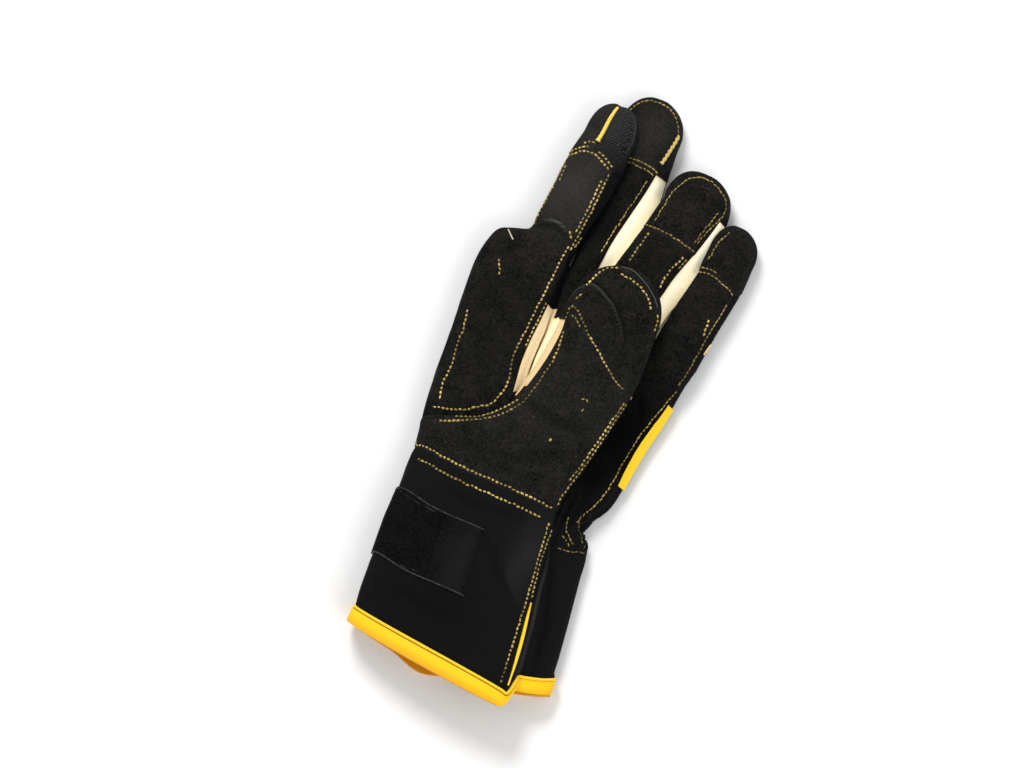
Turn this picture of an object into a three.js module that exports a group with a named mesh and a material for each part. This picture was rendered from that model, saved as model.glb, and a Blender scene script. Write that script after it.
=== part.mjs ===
// A heavy-duty work glove lying palm up with its thumb folded over the palm.
// Units are millimetres, +Z is up, +Y runs from the cuff to the fingertips and
// +X from the index finger's side to the little finger's side.
// The sheets are cut from three welded shells (hand, thumb and cuff), as the
// pattern pieces of a sewn glove are: every piece is a thin closed solid that
// keeps a small seam gap to the next one.
import * as THREE from "three";

// Driving sizes
const WALL = 1.6; // thickness of leather and cloth
const LINING = 1.2; // thickness of the thin cloth between the fingers
const SEAM_GAP = 0.36; // clearance between two pieces at a seam
const TAPE = 0.6; // thickness of the binding tape
const TAPE_SEAT = 0.65; // height of the cloth in the tape, so that the tape just lies on the table
const CREASE_Y = 84; // where the cuff is sewn to the hand
const CROTCH_Y = 136; // where the thumb leaves the palm
const CENTRE = { x: -1.02, y: 140.97 }; // middle of the drawing, moved to the origin
const FRONT_COLUMNS = 6; // facets across a finger's front or back
const WALL_COLUMNS = 2; // facets down a finger's side
const STEP_COLUMNS = 2; // facets between two fingers
const THUMB_COLUMNS = 8;
const TIP_STEPS = [0.38, 0.68, 0.88, 0.98]; // how far along a rounded tip its rows lie
const TIP_EDGE = 5.4; // height of the side strip at a fingertip
const SEAT = 0.35; // clearance under a piece that lies on another
const CORNER_REACH = 1.15; // widens a seam's pull, so that it holds at corners too
const SHARPEST_MITRE = 0.46; // limits how far a sharp corner's mitre reaches

const COLOURS = {
  suede: { color: 0x282522, roughness: 0.95, metalness: 0 },
  canvas: { color: 0x171717, roughness: 0.9, metalness: 0 },
  mesh: { color: 0x1e1e1f, roughness: 0.85, metalness: 0 },
  cream: { color: 0xf2e4be, roughness: 0.85, metalness: 0 },
  yellow: { color: 0xfcd012, roughness: 0.7, metalness: 0 },
};

// Small helpers

// Turns rows of numbers into objects with the named columns.
function table(columns, rows) {
  const names = columns.split(" ");
  return rows.map((row) =>
    Object.fromEntries(names.map((name, i) => [name, row[i]])),
  );
}

const mix = (a, b, t) => a + (b - a) * t;
const clamp01 = (t) => Math.min(1, Math.max(0, t));

function smooth(t) {
  const c = clamp01(t);
  return c * c * (3 - 2 * c);
}

// Reads one column of a table at a station between its rows, on a smooth curve.
function read(rows, column, at, station = "y") {
  const n = rows.length;
  if (at <= rows[0][station]) return rows[0][column];
  if (at >= rows[n - 1][station]) return rows[n - 1][column];
  let i = 0;
  while (rows[i + 1][station] < at) i++;
  const slope = (a, b) =>
    (rows[b][column] - rows[a][column]) / (rows[b][station] - rows[a][station]);
  const here = slope(i, i + 1);
  const before = i > 0 ? (slope(i - 1, i) + here) / 2 : here;
  const after = i + 2 < n ? (slope(i + 1, i + 2) + here) / 2 : here;
  const span = rows[i + 1][station] - rows[i][station];
  const t = (at - rows[i][station]) / span;
  const h00 = (1 + 2 * t) * (1 - t) ** 2;
  const h10 = t * (1 - t) ** 2;
  const h01 = t * t * (3 - 2 * t);
  const h11 = t * t * (t - 1);
  return (
    h00 * rows[i][column] +
    h10 * span * before +
    h01 * rows[i + 1][column] +
    h11 * span * after
  );
}

// Shares of a width that crowd towards both edges, so that a few facets look round.
function roundShares(count) {
  return Array.from(
    { length: count + 1 },
    (_, i) => (1 - Math.cos((Math.PI * i) / count)) / 2,
  );
}

const evenShares = (count) =>
  Array.from({ length: count + 1 }, (_, i) => i / count);

// Points from a to b that bulge to the left of the way from a to b, in the XZ plane.
function bulged(a, b, shares, bulge, profile) {
  const normal = new THREE.Vector3(-(b.z - a.z), 0, b.x - a.x).normalize();
  return shares.map((s) =>
    a
      .clone()
      .lerp(b, s)
      .addScaledVector(normal, bulge * profile(s)),
  );
}

const ARCH_POWER = 2.4; // above 2 the palm's arch is flatter than a half round
const halfRound = (s) => Math.sqrt(Math.max(0, 1 - (2 * s - 1) ** 2));
const softArch = (s) => 4 * s * (1 - s);
const flatArch = (s) => Math.sqrt(Math.max(0, 1 - Math.abs(2 * s - 1) ** ARCH_POWER));
// Flat over the middle half and turned up at both edges, as cloth lies on a table.
const pressedFlat = (s) => 1 - Math.max(0, (Math.abs(2 * s - 1) - 0.5) / 0.5) ** 2;

// A welded skin of quads. Each quad carries the name of the piece it belongs to.
class Shell {
  constructor() {
    this.points = [];
    this.index = new Map();
    this.faces = [];
  }

  point(p) {
    const key = [p.x, p.y, p.z].map((v) => Math.round(v * 1e4)).join();
    if (!this.index.has(key)) {
      this.index.set(key, this.points.length);
      this.points.push(p.clone());
    }
    return this.index.get(key);
  }

  // The corners run anticlockwise seen from outside.
  quad(piece, a, b, c, d) {
    const short = a.distanceTo(c) < b.distanceTo(d);
    const ring = (short ? [a, b, c, d] : [b, c, d, a]).map((p) => this.point(p));
    const corners = ring.filter((v, i) => v !== ring[(i + 3) % 4]);
    if (corners.length > 2) this.faces.push({ piece, corners });
  }

  // rows[j][i] with i running left to right and j running up, seen from outside.
  grid(rows, pieceAt) {
    for (let j = 0; j + 1 < rows.length; j++)
      for (let i = 0; i + 1 < rows[j].length; i++) {
        const piece = typeof pieceAt === "string" ? pieceAt : pieceAt(i, j);
        if (piece)
          this.quad(piece, rows[j][i], rows[j][i + 1], rows[j + 1][i + 1], rows[j + 1][i]);
      }
  }

  faceNormal({ corners }) {
    const p = corners.map((i) => this.points[i]);
    const a = p[2].clone().sub(p[0]);
    const b = p[corners.length - 1].clone().sub(p[1]);
    return a.cross(b).normalize();
  }

  // Where each point goes when the skin is offset by 1 mm, mitred at the seams.
  offsets() {
    const sums = this.points.map(() => new THREE.Vector3());
    const touching = this.points.map(() => []);
    for (const face of this.faces) {
      const normal = this.faceNormal(face);
      for (const i of face.corners) {
        sums[i].add(normal);
        touching[i].push(normal);
      }
    }
    return sums.map((sum, i) => {
      const n = sum.normalize();
      const lean = touching[i].reduce((t, m) => t + n.dot(m), 0) / touching[i].length;
      return n.multiplyScalar(1 / Math.max(SHARPEST_MITRE, lean));
    });
  }

  // Cuts one piece out as a closed sheet between two offsets from the skin.
  sheet(piece, outer, inner, gap = SEAM_GAP) {
    const offsets = this.offsets();
    const faces = this.faces.filter((face) => face.piece === piece);
    const edges = new Map();
    for (const { corners } of faces)
      corners.forEach((a, i) => {
        const b = corners[(i + 1) % corners.length];
        if (!edges.delete(`${b},${a}`)) edges.set(`${a},${b}`, [a, b]);
      });
    const shifts = new Map();
    for (const face of faces) {
      const normal = this.faceNormal(face);
      face.corners.forEach((a, i) => {
        const b = face.corners[(i + 1) % face.corners.length];
        if (!edges.has(`${a},${b}`)) return;
        const along = this.points[b].clone().sub(this.points[a]).normalize();
        const inward = normal.clone().cross(along);
        for (const v of [a, b]) shifts.set(v, (shifts.get(v) || []).concat([inward]));
      });
    }
    const used = [...new Set(faces.flatMap((face) => face.corners))];
    const place = new Map(used.map((v, i) => [v, i]));
    const position = [];
    for (const offset of [outer, inner])
      for (const v of used) {
        const p = this.points[v].clone().addScaledVector(offsets[v], offset);
        const pulls = shifts.get(v) || [];
        const pull = pulls.reduce((t, m) => t.add(m), new THREE.Vector3());
        if (pulls.length) p.addScaledVector(pull.normalize(), (gap / 2) * CORNER_REACH);
        position.push(p.x, p.y, p.z);
      }
    const below = used.length;
    const triangles = [];
    for (const { corners } of faces) {
      const c = corners.map((v) => place.get(v));
      for (let i = 1; i + 1 < c.length; i++) {
        triangles.push(c[0], c[i], c[i + 1]);
        triangles.push(c[0] + below, c[i + 1] + below, c[i] + below);
      }
    }
    for (const [a, b] of edges.values()) {
      const [p, q] = [place.get(a), place.get(b)];
      triangles.push(p, p + below, q + below, p, q + below, q);
    }
    return geometryOf(position, triangles);
  }
}

function geometryOf(position, triangles) {
  const geometry = new THREE.BufferGeometry();
  geometry.setAttribute("position", new THREE.Float32BufferAttribute(position, 3));
  geometry.setIndex(triangles);
  geometry.computeVertexNormals();
  return geometry;
}

// The four fingers. Each row is a section: the front's two edges (tl, tr), the
// back's two edges (bl, br), how far the front rises and the back sinks.
const SECTION = "y tlx tlz trx trz brx brz blx blz crown sag";
const FINGERS = [
  {
    name: "index",
    rows: table(SECTION, [
      [212, -48.5, 13, -23.6, 19, -22.8, 7, -47.5, 3.5, 5.5, 3.5],
      [225, -47.5, 13, -22.6, 21, -20.6, 12, -45.5, 3, 5, 3],
      [240, -47, 13, -22, 22, -18.4, 13.2, -44.5, 3, 5, 3],
      [257, -46.5, 13, -22.2, 22.4, -17.2, 13.6, -44, 3.2, 5, 3],
      [270, -46, 13, -23, 22, -17.8, 14, -43.5, 3.6, 4.5, 3],
    ]),
    tip: { x: -31.5, y: 288.5, z: 13.5 },
    cap: 3,
    capWall: 3,
  },
  {
    name: "middle",
    rows: table(SECTION, [
      [204, -18, 15, -6.5, 15.4, -1, 4, -19, 4, 3.2, 4],
      [222, -19, 6.4, -6.4, 14, 0.5, 4, -19.8, 2.6, 4, 2.7],
      [243, -20.2, 5.4, -5.6, 14, 2, 4, -21, 2.4, 4, 2.6],
      [263, -21.6, 5.4, -4.4, 14, 2.4, 4, -22.2, 2.4, 4, 2.6],
      [281, -23.6, 6, -3, 13, 2, 4.5, -24.2, 2.8, 4.2, 2.9],
    ]),
    tip: { x: -13.4, y: 300, z: 8 },
    cap: 3,
    capWall: 3,
  },
  {
    name: "ring",
    rows: table(SECTION, [
      [198, 3.5, 13, 26, 15, 30, 4, 2.2, 4, 5, 4],
      [210, 4.3, 13.5, 27.8, 15.5, 32.6, 4, 3.4, 4, 5, 4],
      [223, 5.8, 14, 30, 15.5, 35, 4, 5.2, 4, 5, 4],
      [237, 7.6, 14, 32.6, 15, 37.4, 4, 7.1, 4, 5, 4],
      [256, 9, 13, 35.6, 13.5, 39, 4.5, 8.5, 4.5, 5, 4],
    ]),
    tip: { x: 23, y: 276.5, z: 8.5 },
    cap: 3,
    capWall: 4,
  },
  {
    name: "little",
    rows: table(SECTION, [
      [188, 35, 12.5, 56.5, 12, 59.5, 4, 33.5, 4, 5, 4],
      [201, 36.8, 13, 58, 12, 60.8, 4, 35.6, 4, 5, 4],
      [214, 38.4, 13, 58.2, 12, 60.8, 4, 37.6, 4, 5, 4],
      [228, 39, 13, 58.2, 12, 60.6, 4, 38.5, 4, 5, 4],
      [242, 38.8, 12, 57.2, 11.5, 59, 4.5, 38.4, 4.5, 4.5, 4],
    ]),
    tip: { x: 47, y: 259.5, z: 8.3 },
    cap: 3,
    capWall: 3,
  },
];

// The palm's sections: its left edge, the index panel's seam, the foot of the
// step beside that seam, and the right edge, each with its height. The index
// panel and the palm beyond the step each rise between their edges.
const PALM = table("y left leftZ seam seamZ rise foot footZ right rightZ crown", [
  [84, -51, 12.5, -22.2, 22, 5, -17.5, 16, 42, 8, 8],
  [92, -52.5, 12.5, -22.2, 22, 5, -17.5, 16, 43, 8, 8],
  [104, -54.5, 13, -22.2, 22, 5, -17.5, 15.5, 46, 8.5, 7.5],
  [122, -57, 13.5, -22.2, 21.5, 5, -17.5, 14.6, 50.5, 9, 6],
  [136, -58.6, 13.8, -22.2, 21, 5, -17.5, 13.8, 52.7, 9.5, 4.6],
  [150, -60, 14, -22.3, 20.5, 5, -17.5, 13.4, 54.6, 10, 4.2],
  [172, -62.6, 14, -22.4, 20, 5, -17.5, 13, 57.4, 11, 4.4],
  [188, -64.2, 14, -22.5, 19.5, 5, -18.4, 13.6, 58.6, 11.5, 4.4],
  [199, -61.9, 13.6, -22.6, 19, 5, -19.2, 14, 60, 11.8, 4],
  [205, -59.3, 13.2, -22.7, 18.8, 5, -19.4, 14, 60.3, 12, 4],
  [212, -48.5, 13, -22.8, 18.5, 5, -19.6, 14, 60.5, 12, 4],
]);
const STEP_SAG = 1.2; // how far the step beside the index panel's seam sags
const EDGE_LEAN = { left: 0.4, right: 3.4 }; // how far the front's edge stands in from the outline
const BACK_EDGE = { inset: 0.8, z: 3.5 }; // the back's edge against the outline
const SHARE_PLATEAU = 0.86; // how much of the palm's width lies flat on the table

// The thumb and the heel of the palm in front of it. Each row is a section with
// its left and right seam, how far it rises between them, and how deep its
// walls reach (low) and lean out (lean); the right wall stands on the palm up to
// the thumb's root.
const THUMB = table("xl yl zl xr yr zr crown lowL leanL lowR", [
  [-51, 84, 12.5, 25, 84, 24, 10, 1, 0, 0],
  [-52.2, 93, 12.6, 25.6, 91.5, 25, 10.3, 1, 0, 0],
  [-53.2, 101.4, 13, 27, 99.5, 26, 10.5, 1, 0, 0],
  [-41, 103.2, 16, 28.5, 108, 27, 10.4, 1.5, 0, 0],
  [-30.5, 106.4, 19.5, 30, 116.5, 28, 10, 3.5, 1, 0],
  [-20.4, 116, 23, 31.3, 125.5, 28.5, 9.5, 6, 1.6, 0],
  [-14, 129.5, 25.4, 32.5, 134, 28.5, 9.2, 7.6, 2.6, 0],
  [-10.6, 143, 26.3, 33.6, 141.5, 28, 9, 7.6, 3.6, 8.5],
  [-8.8, 157, 26.5, 34.4, 147.5, 28, 9, 7.6, 4.6, 8],
  [-9, 170, 26.5, 35, 152, 28, 9, 7.3, 4, 8],
  [-11, 179.5, 26.5, 35.3, 156, 27.5, 9, 7, 2.5, 7.5],
  [-12, 187, 26.5, 35.4, 171, 27, 8.5, 6.8, 1.2, 6.8],
  [-11.3, 192, 26.5, 34.5, 187, 26.5, 8, 6.4, 0.8, 6.4],
]);
const THUMB_TIP = { x: 11, y: 212, z: 24 };
const THUMB_CAP_ROW = 10; // the cap's seam runs slanting across the thumb here
const THUMB_ROOT_ROW = 6; // where its underside starts
const STRIP_START_ROW = 3; // where the strip down to the palm starts

// The cuff's sections from the hand down to the hem: left edge, side seam, right
// edge, and the heights of the seam and of the step beside it.
const CUFF = table("y left leftZ seam seamZ step right rightZ crown", [
  [84, -51, 12.5, 25, 24, 17.5, 42, 8, 10],
  [76, -50.6, 13, 26.5, 24, 17.5, 46.5, 8.5, 10],
  [62, -49.8, 14, 28.5, 24.5, 17.5, 50, 9, 9.5],
  [44, -48.2, 15, 31.5, 25, 17.5, 53.5, 9.5, 9],
  [24, -46.4, 16, 35.5, 25.5, 18, 57, 10, 8.5],
  [8, -44.8, 16.5, 39.5, 25.5, 18, 59.6, 10.5, 8],
  [-4, -43.6, 16.5, 42.4, 25.5, 18, 61, 10.5, 8],
]);
const HEM = {
  left: -10,
  backLeft: -7,
  sag: 4,
  seam: -16.5,
  foot: -5,
  right: -1,
  backSag: 7,
};
const BINDING = 9.5; // width of the binding tape
const CUFF_SHARES = { front: 12, side: 5, back: 12 };

const v3 = (x, y, z) => new THREE.Vector3(x, y, z);

// How far the finger's, thumb's and cuff's walls bulge between their edges
const WALL_BULGE = { finger: 0.6, thumb: 0.4, cuffRight: 0.6, cuffLeft: 0.8 };

// Finger sections

// The ring of a finger's points at one row: front, right wall, back and left wall.
function fingerRing(section, y, baseY) {
  const { tlx, tlz, trx, trz, brx, brz, blx, blz, crown, sag } = section;
  const at = (x, z, share) => v3(x, baseY ? baseY(share) : y, z);
  const front = bulged(
    at(tlx, tlz, 0),
    at(trx, trz, 1),
    roundShares(FRONT_COLUMNS),
    crown,
    halfRound,
  );
  const back = bulged(
    at(blx, blz, 0),
    at(brx, brz, 1),
    roundShares(FRONT_COLUMNS),
    -sag,
    pressedFlat,
  );
  if (baseY)
    for (const row of [front, back])
      roundShares(FRONT_COLUMNS).forEach((s, i) => (row[i].y = baseY(s)));
  return { front, back, ...wallsOf(front, back) };
}

// The side walls between a front and a back, bulging a little.
function wallsOf(front, back) {
  const last = front.length - 1;
  const shares = evenShares(WALL_COLUMNS);
  return {
    right: bulged(front[last], back[last], shares, WALL_BULGE.finger, softArch),
    left: bulged(back[0], front[0], shares, WALL_BULGE.finger, softArch),
  };
}

// All rings of a finger from its base to the end of its rounded tip.
function fingerRings(finger, baseY) {
  const rings = finger.rows.map((row, j) =>
    fingerRing(row, row.y, j === 0 ? baseY : null),
  );
  const last = finger.rows[finger.rows.length - 1];
  const { tip } = finger;
  for (const share of TIP_STEPS) {
    const c = Math.sqrt(1 - share * share);
    const top = tip.z + TIP_EDGE / 2;
    const bottom = tip.z - TIP_EDGE / 2;
    const section = { crown: last.crown * c, sag: last.sag * c };
    for (const side of ["tl", "tr", "bl", "br"]) {
      section[side + "x"] = mix(tip.x, last[side + "x"], c);
      section[side + "z"] = mix(side[0] === "t" ? top : bottom, last[side + "z"], c);
    }
    rings.push(fingerRing(section, mix(last.y, tip.y, share)));
  }
  return rings;
}

// Hand shell

// The knuckle line: where each finger's front starts, as seen from the palm.
// It ends at a set height at the ulnar edge and dips between two fingers.
const KNUCKLE = { ulnarY: 185, lead: 1, dip: 2.2 };

function knuckleY(i, share) {
  const nextY = i < FINGERS.length - 1 ? FINGERS[i + 1].rows[0].y : KNUCKLE.ulnarY;
  return mix(FINGERS[i].rows[0].y, nextY + KNUCKLE.lead, share * share);
}

const fingers = FINGERS.map((finger, i) => ({
  ...finger,
  rings: fingerRings(finger, (share) => knuckleY(i, share)),
}));

// The knuckle row of points across all four fingers, with the steps between them.
function knuckleRow(face) {
  const row = [];
  fingers.forEach(({ rings }, i) => {
    const points = rings[0][face];
    if (i > 0) {
      const from = row[row.length - 1];
      for (const s of evenShares(STEP_COLUMNS).slice(1, -1)) {
        const p = from.clone().lerp(points[0], s);
        p.y -= KNUCKLE.dip;
        row.push(p);
      }
    }
    row.push(...points);
  });
  return row;
}

const knuckles = { front: knuckleRow("front"), back: knuckleRow("back") };
const COLUMNS = knuckles.front.length;
const FINGER_SPAN = FRONT_COLUMNS + STEP_COLUMNS;

// The height of the hand's front beyond the step, at a place on the palm.
function palmHeight(x, y) {
  const [foot, right] = [read(PALM, "foot", y), read(PALM, "right", y) - EDGE_LEAN.right];
  const share = clamp01((x - foot) / (right - foot));
  const edge = mix(read(PALM, "footZ", y), read(PALM, "rightZ", y), share);
  return edge + read(PALM, "crown", y) * flatArch(share);
}

// The share of the stretch between two knuckle columns at which a column lies.
function columnShare(face, column, first, last) {
  const [from, to] = [knuckles[face][first].x, knuckles[face][last].x];
  return (knuckles[face][column].x - from) / (to - from);
}

// How far below the knuckles the palm starts to take on the fingers' sections
const BLEND = { front: 26, back: 14, index: 8 };

function blendAt(face, column, y) {
  const reach = column <= FRONT_COLUMNS ? BLEND.index : BLEND[face];
  return smooth((y - (knuckles[face][column].y - reach)) / reach);
}

// A column of the palm keeps its share of the stretch that it lies in.
function frontPoint(column, y) {
  const at = (name) => read(PALM, name, y);
  const knuckle = knuckles.front[column];
  const left = at("left") + EDGE_LEAN.left;
  const right = at("right") - EDGE_LEAN.right;
  const blend = blendAt("front", column, y);
  let x = 0;
  let z = 0;
  if (column <= FRONT_COLUMNS) {
    const share = columnShare("front", column, 0, FRONT_COLUMNS);
    x = mix(left, at("seam"), share);
    z = mix(at("leftZ"), at("seamZ"), share) + at("rise") * flatArch(share);
    const valley = PANEL_FOOT.leftZ + PANEL_FOOT.slope * (x - left);
    z = mix(valley, z, smooth(PANEL_FOOT.start + (y - seamY(column)) / PANEL_FOOT.reach));
  } else if (column < FINGER_SPAN) {
    const share = (column - FRONT_COLUMNS) / STEP_COLUMNS;
    x = mix(at("seam"), at("foot"), share);
    z = mix(at("seamZ"), at("footZ"), share) - STEP_SAG * softArch(share);
  } else {
    x = mix(at("foot"), right, columnShare("front", column, FINGER_SPAN, COLUMNS - 1));
    z = palmHeight(x, y);
  }
  return v3(mix(x, knuckle.x, blend), y, mix(z, knuckle.z, blend));
}

function backPoint(column, y) {
  const { inset, z } = BACK_EDGE;
  const knuckle = knuckles.back[column];
  const [left, right] = [read(PALM, "left", y) + inset, read(PALM, "right", y) - inset];
  const share = columnShare("back", column, 0, COLUMNS - 1);
  const out = Math.abs(2 * share - 1);
  const rise = z * Math.max(0, (out - SHARE_PLATEAU) / (1 - SHARE_PLATEAU)) ** 2;
  const blend = blendAt("back", column, y);
  return v3(mix(mix(left, right, share), knuckle.x, blend), y, mix(rise, knuckle.z, blend));
}

// The seam where the hand's front starts: it swings up beside the thumb. The
// index panel sinks to the thumb's seam there.
const PANEL_FOOT = {
  left: 103.8,
  right: 124,
  sweep: 6,
  lead: 3,
  leftZ: 13.2,
  slope: 0.28,
  start: 0.12,
  reach: 16,
};

function seamY(column) {
  const { left, right, sweep, lead } = PANEL_FOOT;
  const share = roundShares(FRONT_COLUMNS)[column];
  if (column <= FRONT_COLUMNS) return mix(left, right, share ** sweep);
  return mix(right + lead, CROTCH_Y, smooth((column - FRONT_COLUMNS) / FRONT_COLUMNS));
}

const HEEL_ROWS = 4;
const HAND_ROWS = [0.14, 0.28, 0.43, 0.58, 0.72, 0.84, 0.93];
const WEB_TOP_ROW = HEEL_ROWS + 5; // the cream web ends here, about 45 mm above its start
const PALM_HEEL_COLUMN = COLUMNS - 1 - FINGER_SPAN; // beside the thumb the palm runs to the cuff
const palmPlaces = [...evenShares(HEEL_ROWS), ...HAND_ROWS.map((share) => 1 + share)];

function palmRow(face, place) {
  const pointAt = face === "front" ? frontPoint : backPoint;
  return knuckles[face].map((knuckle, column) => {
    const seam = seamY(column);
    const y = place <= 1 ? mix(CREASE_Y, seam, place) : mix(seam, knuckle.y, place - 1);
    return pointAt(column, y);
  });
}

const handRows = {
  front: [...palmPlaces.map((place) => palmRow("front", place)), knuckles.front],
  back: [...palmPlaces.map((place) => palmRow("back", place)), knuckles.back],
};
// Below the thumb's seam the left wall ends under the thenar panel's edge.
const handWalls = handRows.front.map((front, j) => {
  const top = [...front];
  top[0] = front[0].clone();
  if (j < HEEL_ROWS) top[0].z -= WALL + SEAT;
  return wallsOf(top, handRows.back[j]);
});

function handShell() {
  const shell = new Shell();
  const isStep = (i) => i >= FRONT_COLUMNS && i < FINGER_SPAN;
  shell.grid(handRows.front, (i, j) => {
    if (j < HEEL_ROWS) return i >= PALM_HEEL_COLUMN ? "palm_panel" : null;
    if (i < FRONT_COLUMNS) return "index_panel";
    if (isStep(i)) return j < WEB_TOP_ROW ? "thumb_web" : "index_middle_fourchette";
    return "palm_panel";
  });
  shell.grid(handRows.back.map((row) => [...row].reverse()), "back_panel");
  shell.grid(handWalls.map((w) => w.left), "radial_side_wall");
  shell.grid(handWalls.map((w) => w.right), "ulnar_side_wall");

  const betweens = ["index_middle_fourchette", "middle_ring_fourchette", "ring_little_fourchette"];
  fingers.forEach(({ name, rings, cap, capWall }, i) => {
    const tipPiece = `${name}_cap`;
    const leftWall = i === 0 ? "radial_side_wall" : betweens[i - 1];
    const rightWall = i === fingers.length - 1 ? "ulnar_side_wall" : betweens[i];
    const panel = i === 0 ? "index_panel" : "palm_panel";
    shell.grid(rings.map((r) => r.front), (_, j) => (j < cap ? panel : tipPiece));
    shell.grid(rings.map((r) => [...r.back].reverse()), "back_panel");
    shell.grid(rings.map((r) => r.right), (_, j) => (j < capWall ? rightWall : tipPiece));
    shell.grid(rings.map((r) => r.left), (_, j) => (j < capWall ? leftWall : tipPiece));
    closeTip(shell, rings[rings.length - 1], "back", tipPiece);
  });
  closeCrotches(shell, betweens);
  return shell;
}

// The strip round the end of a tip, between its front and its other face.
function closeTip(shell, ring, face, piece) {
  const last = ring.front.length - 1;
  const rows = evenShares(WALL_COLUMNS).map((s, k) =>
    ring.front.map((top, i) => {
      if (i === 0) return ring.left[k];
      if (i === last) return ring.right[WALL_COLUMNS - k];
      return ring[face][i].clone().lerp(top, s);
    }),
  );
  shell.grid(rows.map((row) => [...row].reverse()), piece);
}

function closeCrotches(shell, betweens) {
  betweens.forEach((piece, i) => {
    const start = i * FINGER_SPAN + FRONT_COLUMNS;
    const top = knuckles.front.slice(start, start + STEP_COLUMNS + 1);
    const bottom = knuckles.back.slice(start, start + STEP_COLUMNS + 1);
    const rows = evenShares(WALL_COLUMNS).map((s, k) =>
      top.map((p, n) => {
        if (n === 0) return fingers[i].rings[0].right[WALL_COLUMNS - k];
        if (n === STEP_COLUMNS) return fingers[i + 1].rings[0].left[k];
        return bottom[n].clone().lerp(p, s);
      }),
    );
    shell.grid(rows.map((row) => [...row].reverse()), piece);
  });
}

// Thumb shell

const UNDERSIDE = { sag: 0.8, inset: 0.8 }; // of the thumb's lower face

function thumbRing(row, sewn) {
  const onPalm = (x, y) => palmHeight(x, y) + SEAT;
  const left = v3(row.xl, row.yl, row.zl);
  const right = v3(row.xr, row.yr, row.zr);
  const lowLeft = v3(row.xl - row.leanL, row.yl, row.zl - row.lowL);
  const lowRight = v3(row.xr - UNDERSIDE.inset, row.yr, row.zr - row.lowR);
  if (sewn) lowRight.z = onPalm(lowRight.x, lowRight.y);
  const shares = { front: roundShares(THUMB_COLUMNS), under: evenShares(THUMB_COLUMNS) };
  const front = bulged(left, right, shares.front, row.crown, halfRound);
  const under = bulged(lowLeft, lowRight, shares.under, -UNDERSIDE.sag, softArch);
  front.forEach((p, i) => (p.y = mix(row.yl, row.yr, shares.front[i])));
  under.forEach((p, i) => (p.y = mix(row.yl, row.yr, shares.under[i])));
  for (const p of under.slice(1, -1)) p.z = Math.max(p.z, onPalm(p.x, p.y) + SEAT);
  const walls = evenShares(WALL_COLUMNS);
  return {
    front,
    under,
    right: bulged(right, lowRight, walls, WALL_BULGE.thumb, softArch),
    left: bulged(lowLeft, left, walls, WALL_BULGE.thumb, softArch),
  };
}

function thumbRings() {
  const rings = THUMB.map((row, j) => thumbRing(row, j <= THUMB_ROOT_ROW));
  const last = THUMB[THUMB.length - 1];
  for (const share of TIP_STEPS) {
    const c = Math.sqrt(1 - share * share);
    const row = { crown: last.crown * c, leanL: last.leanL * c };
    for (const side of ["l", "r"]) {
      const low = "low" + side.toUpperCase();
      row["x" + side] = mix(THUMB_TIP.x, last["x" + side], c);
      row["y" + side] = mix(last["y" + side], THUMB_TIP.y, share);
      row["z" + side] = mix(THUMB_TIP.z + TIP_EDGE / 2, last["z" + side], c);
      row[low] = mix(TIP_EDGE, last[low], c);
    }
    rings.push(thumbRing(row, false));
  }
  return rings;
}

function thumbShell() {
  const shell = new Shell();
  const rings = thumbRings();
  shell.grid(rings.map((r) => r.front), (_, j) =>
    j < THUMB_CAP_ROW ? "thenar_panel" : "thumb_cap",
  );
  shell.grid(
    rings.slice(THUMB_ROOT_ROW).map((r) => [...r.under].reverse()),
    "thumb_underside",
  );
  shell.grid(rings.map((r) => r.right), (_, j) =>
    j < THUMB_CAP_ROW ? "thumb_side_wall" : "thumb_cap",
  );
  shell.grid(rings.map((r) => r.left), (_, j) => {
    if (j < STRIP_START_ROW) return null;
    if (j < THUMB_ROOT_ROW) return "thenar_seam_strip";
    return j < THUMB_CAP_ROW ? "thumb_fourchette" : "thumb_cap";
  });
  closeTip(shell, rings[rings.length - 1], "under", "thumb_cap");
  return shell;
}

// Cuff shell

// The cuff's ring: front from the left edge to the side seam, the step beside
// the seam down to the right edge, the flat back, and the left edge.
const CUFF_STEP = { width: 1.8, columns: [0.4, 0.75, 1], sag: -1.2 };
const CUFF_BACK = { left: 1.2, right: 0.6, edge: 3.5 }; // insets and height of its edges

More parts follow.
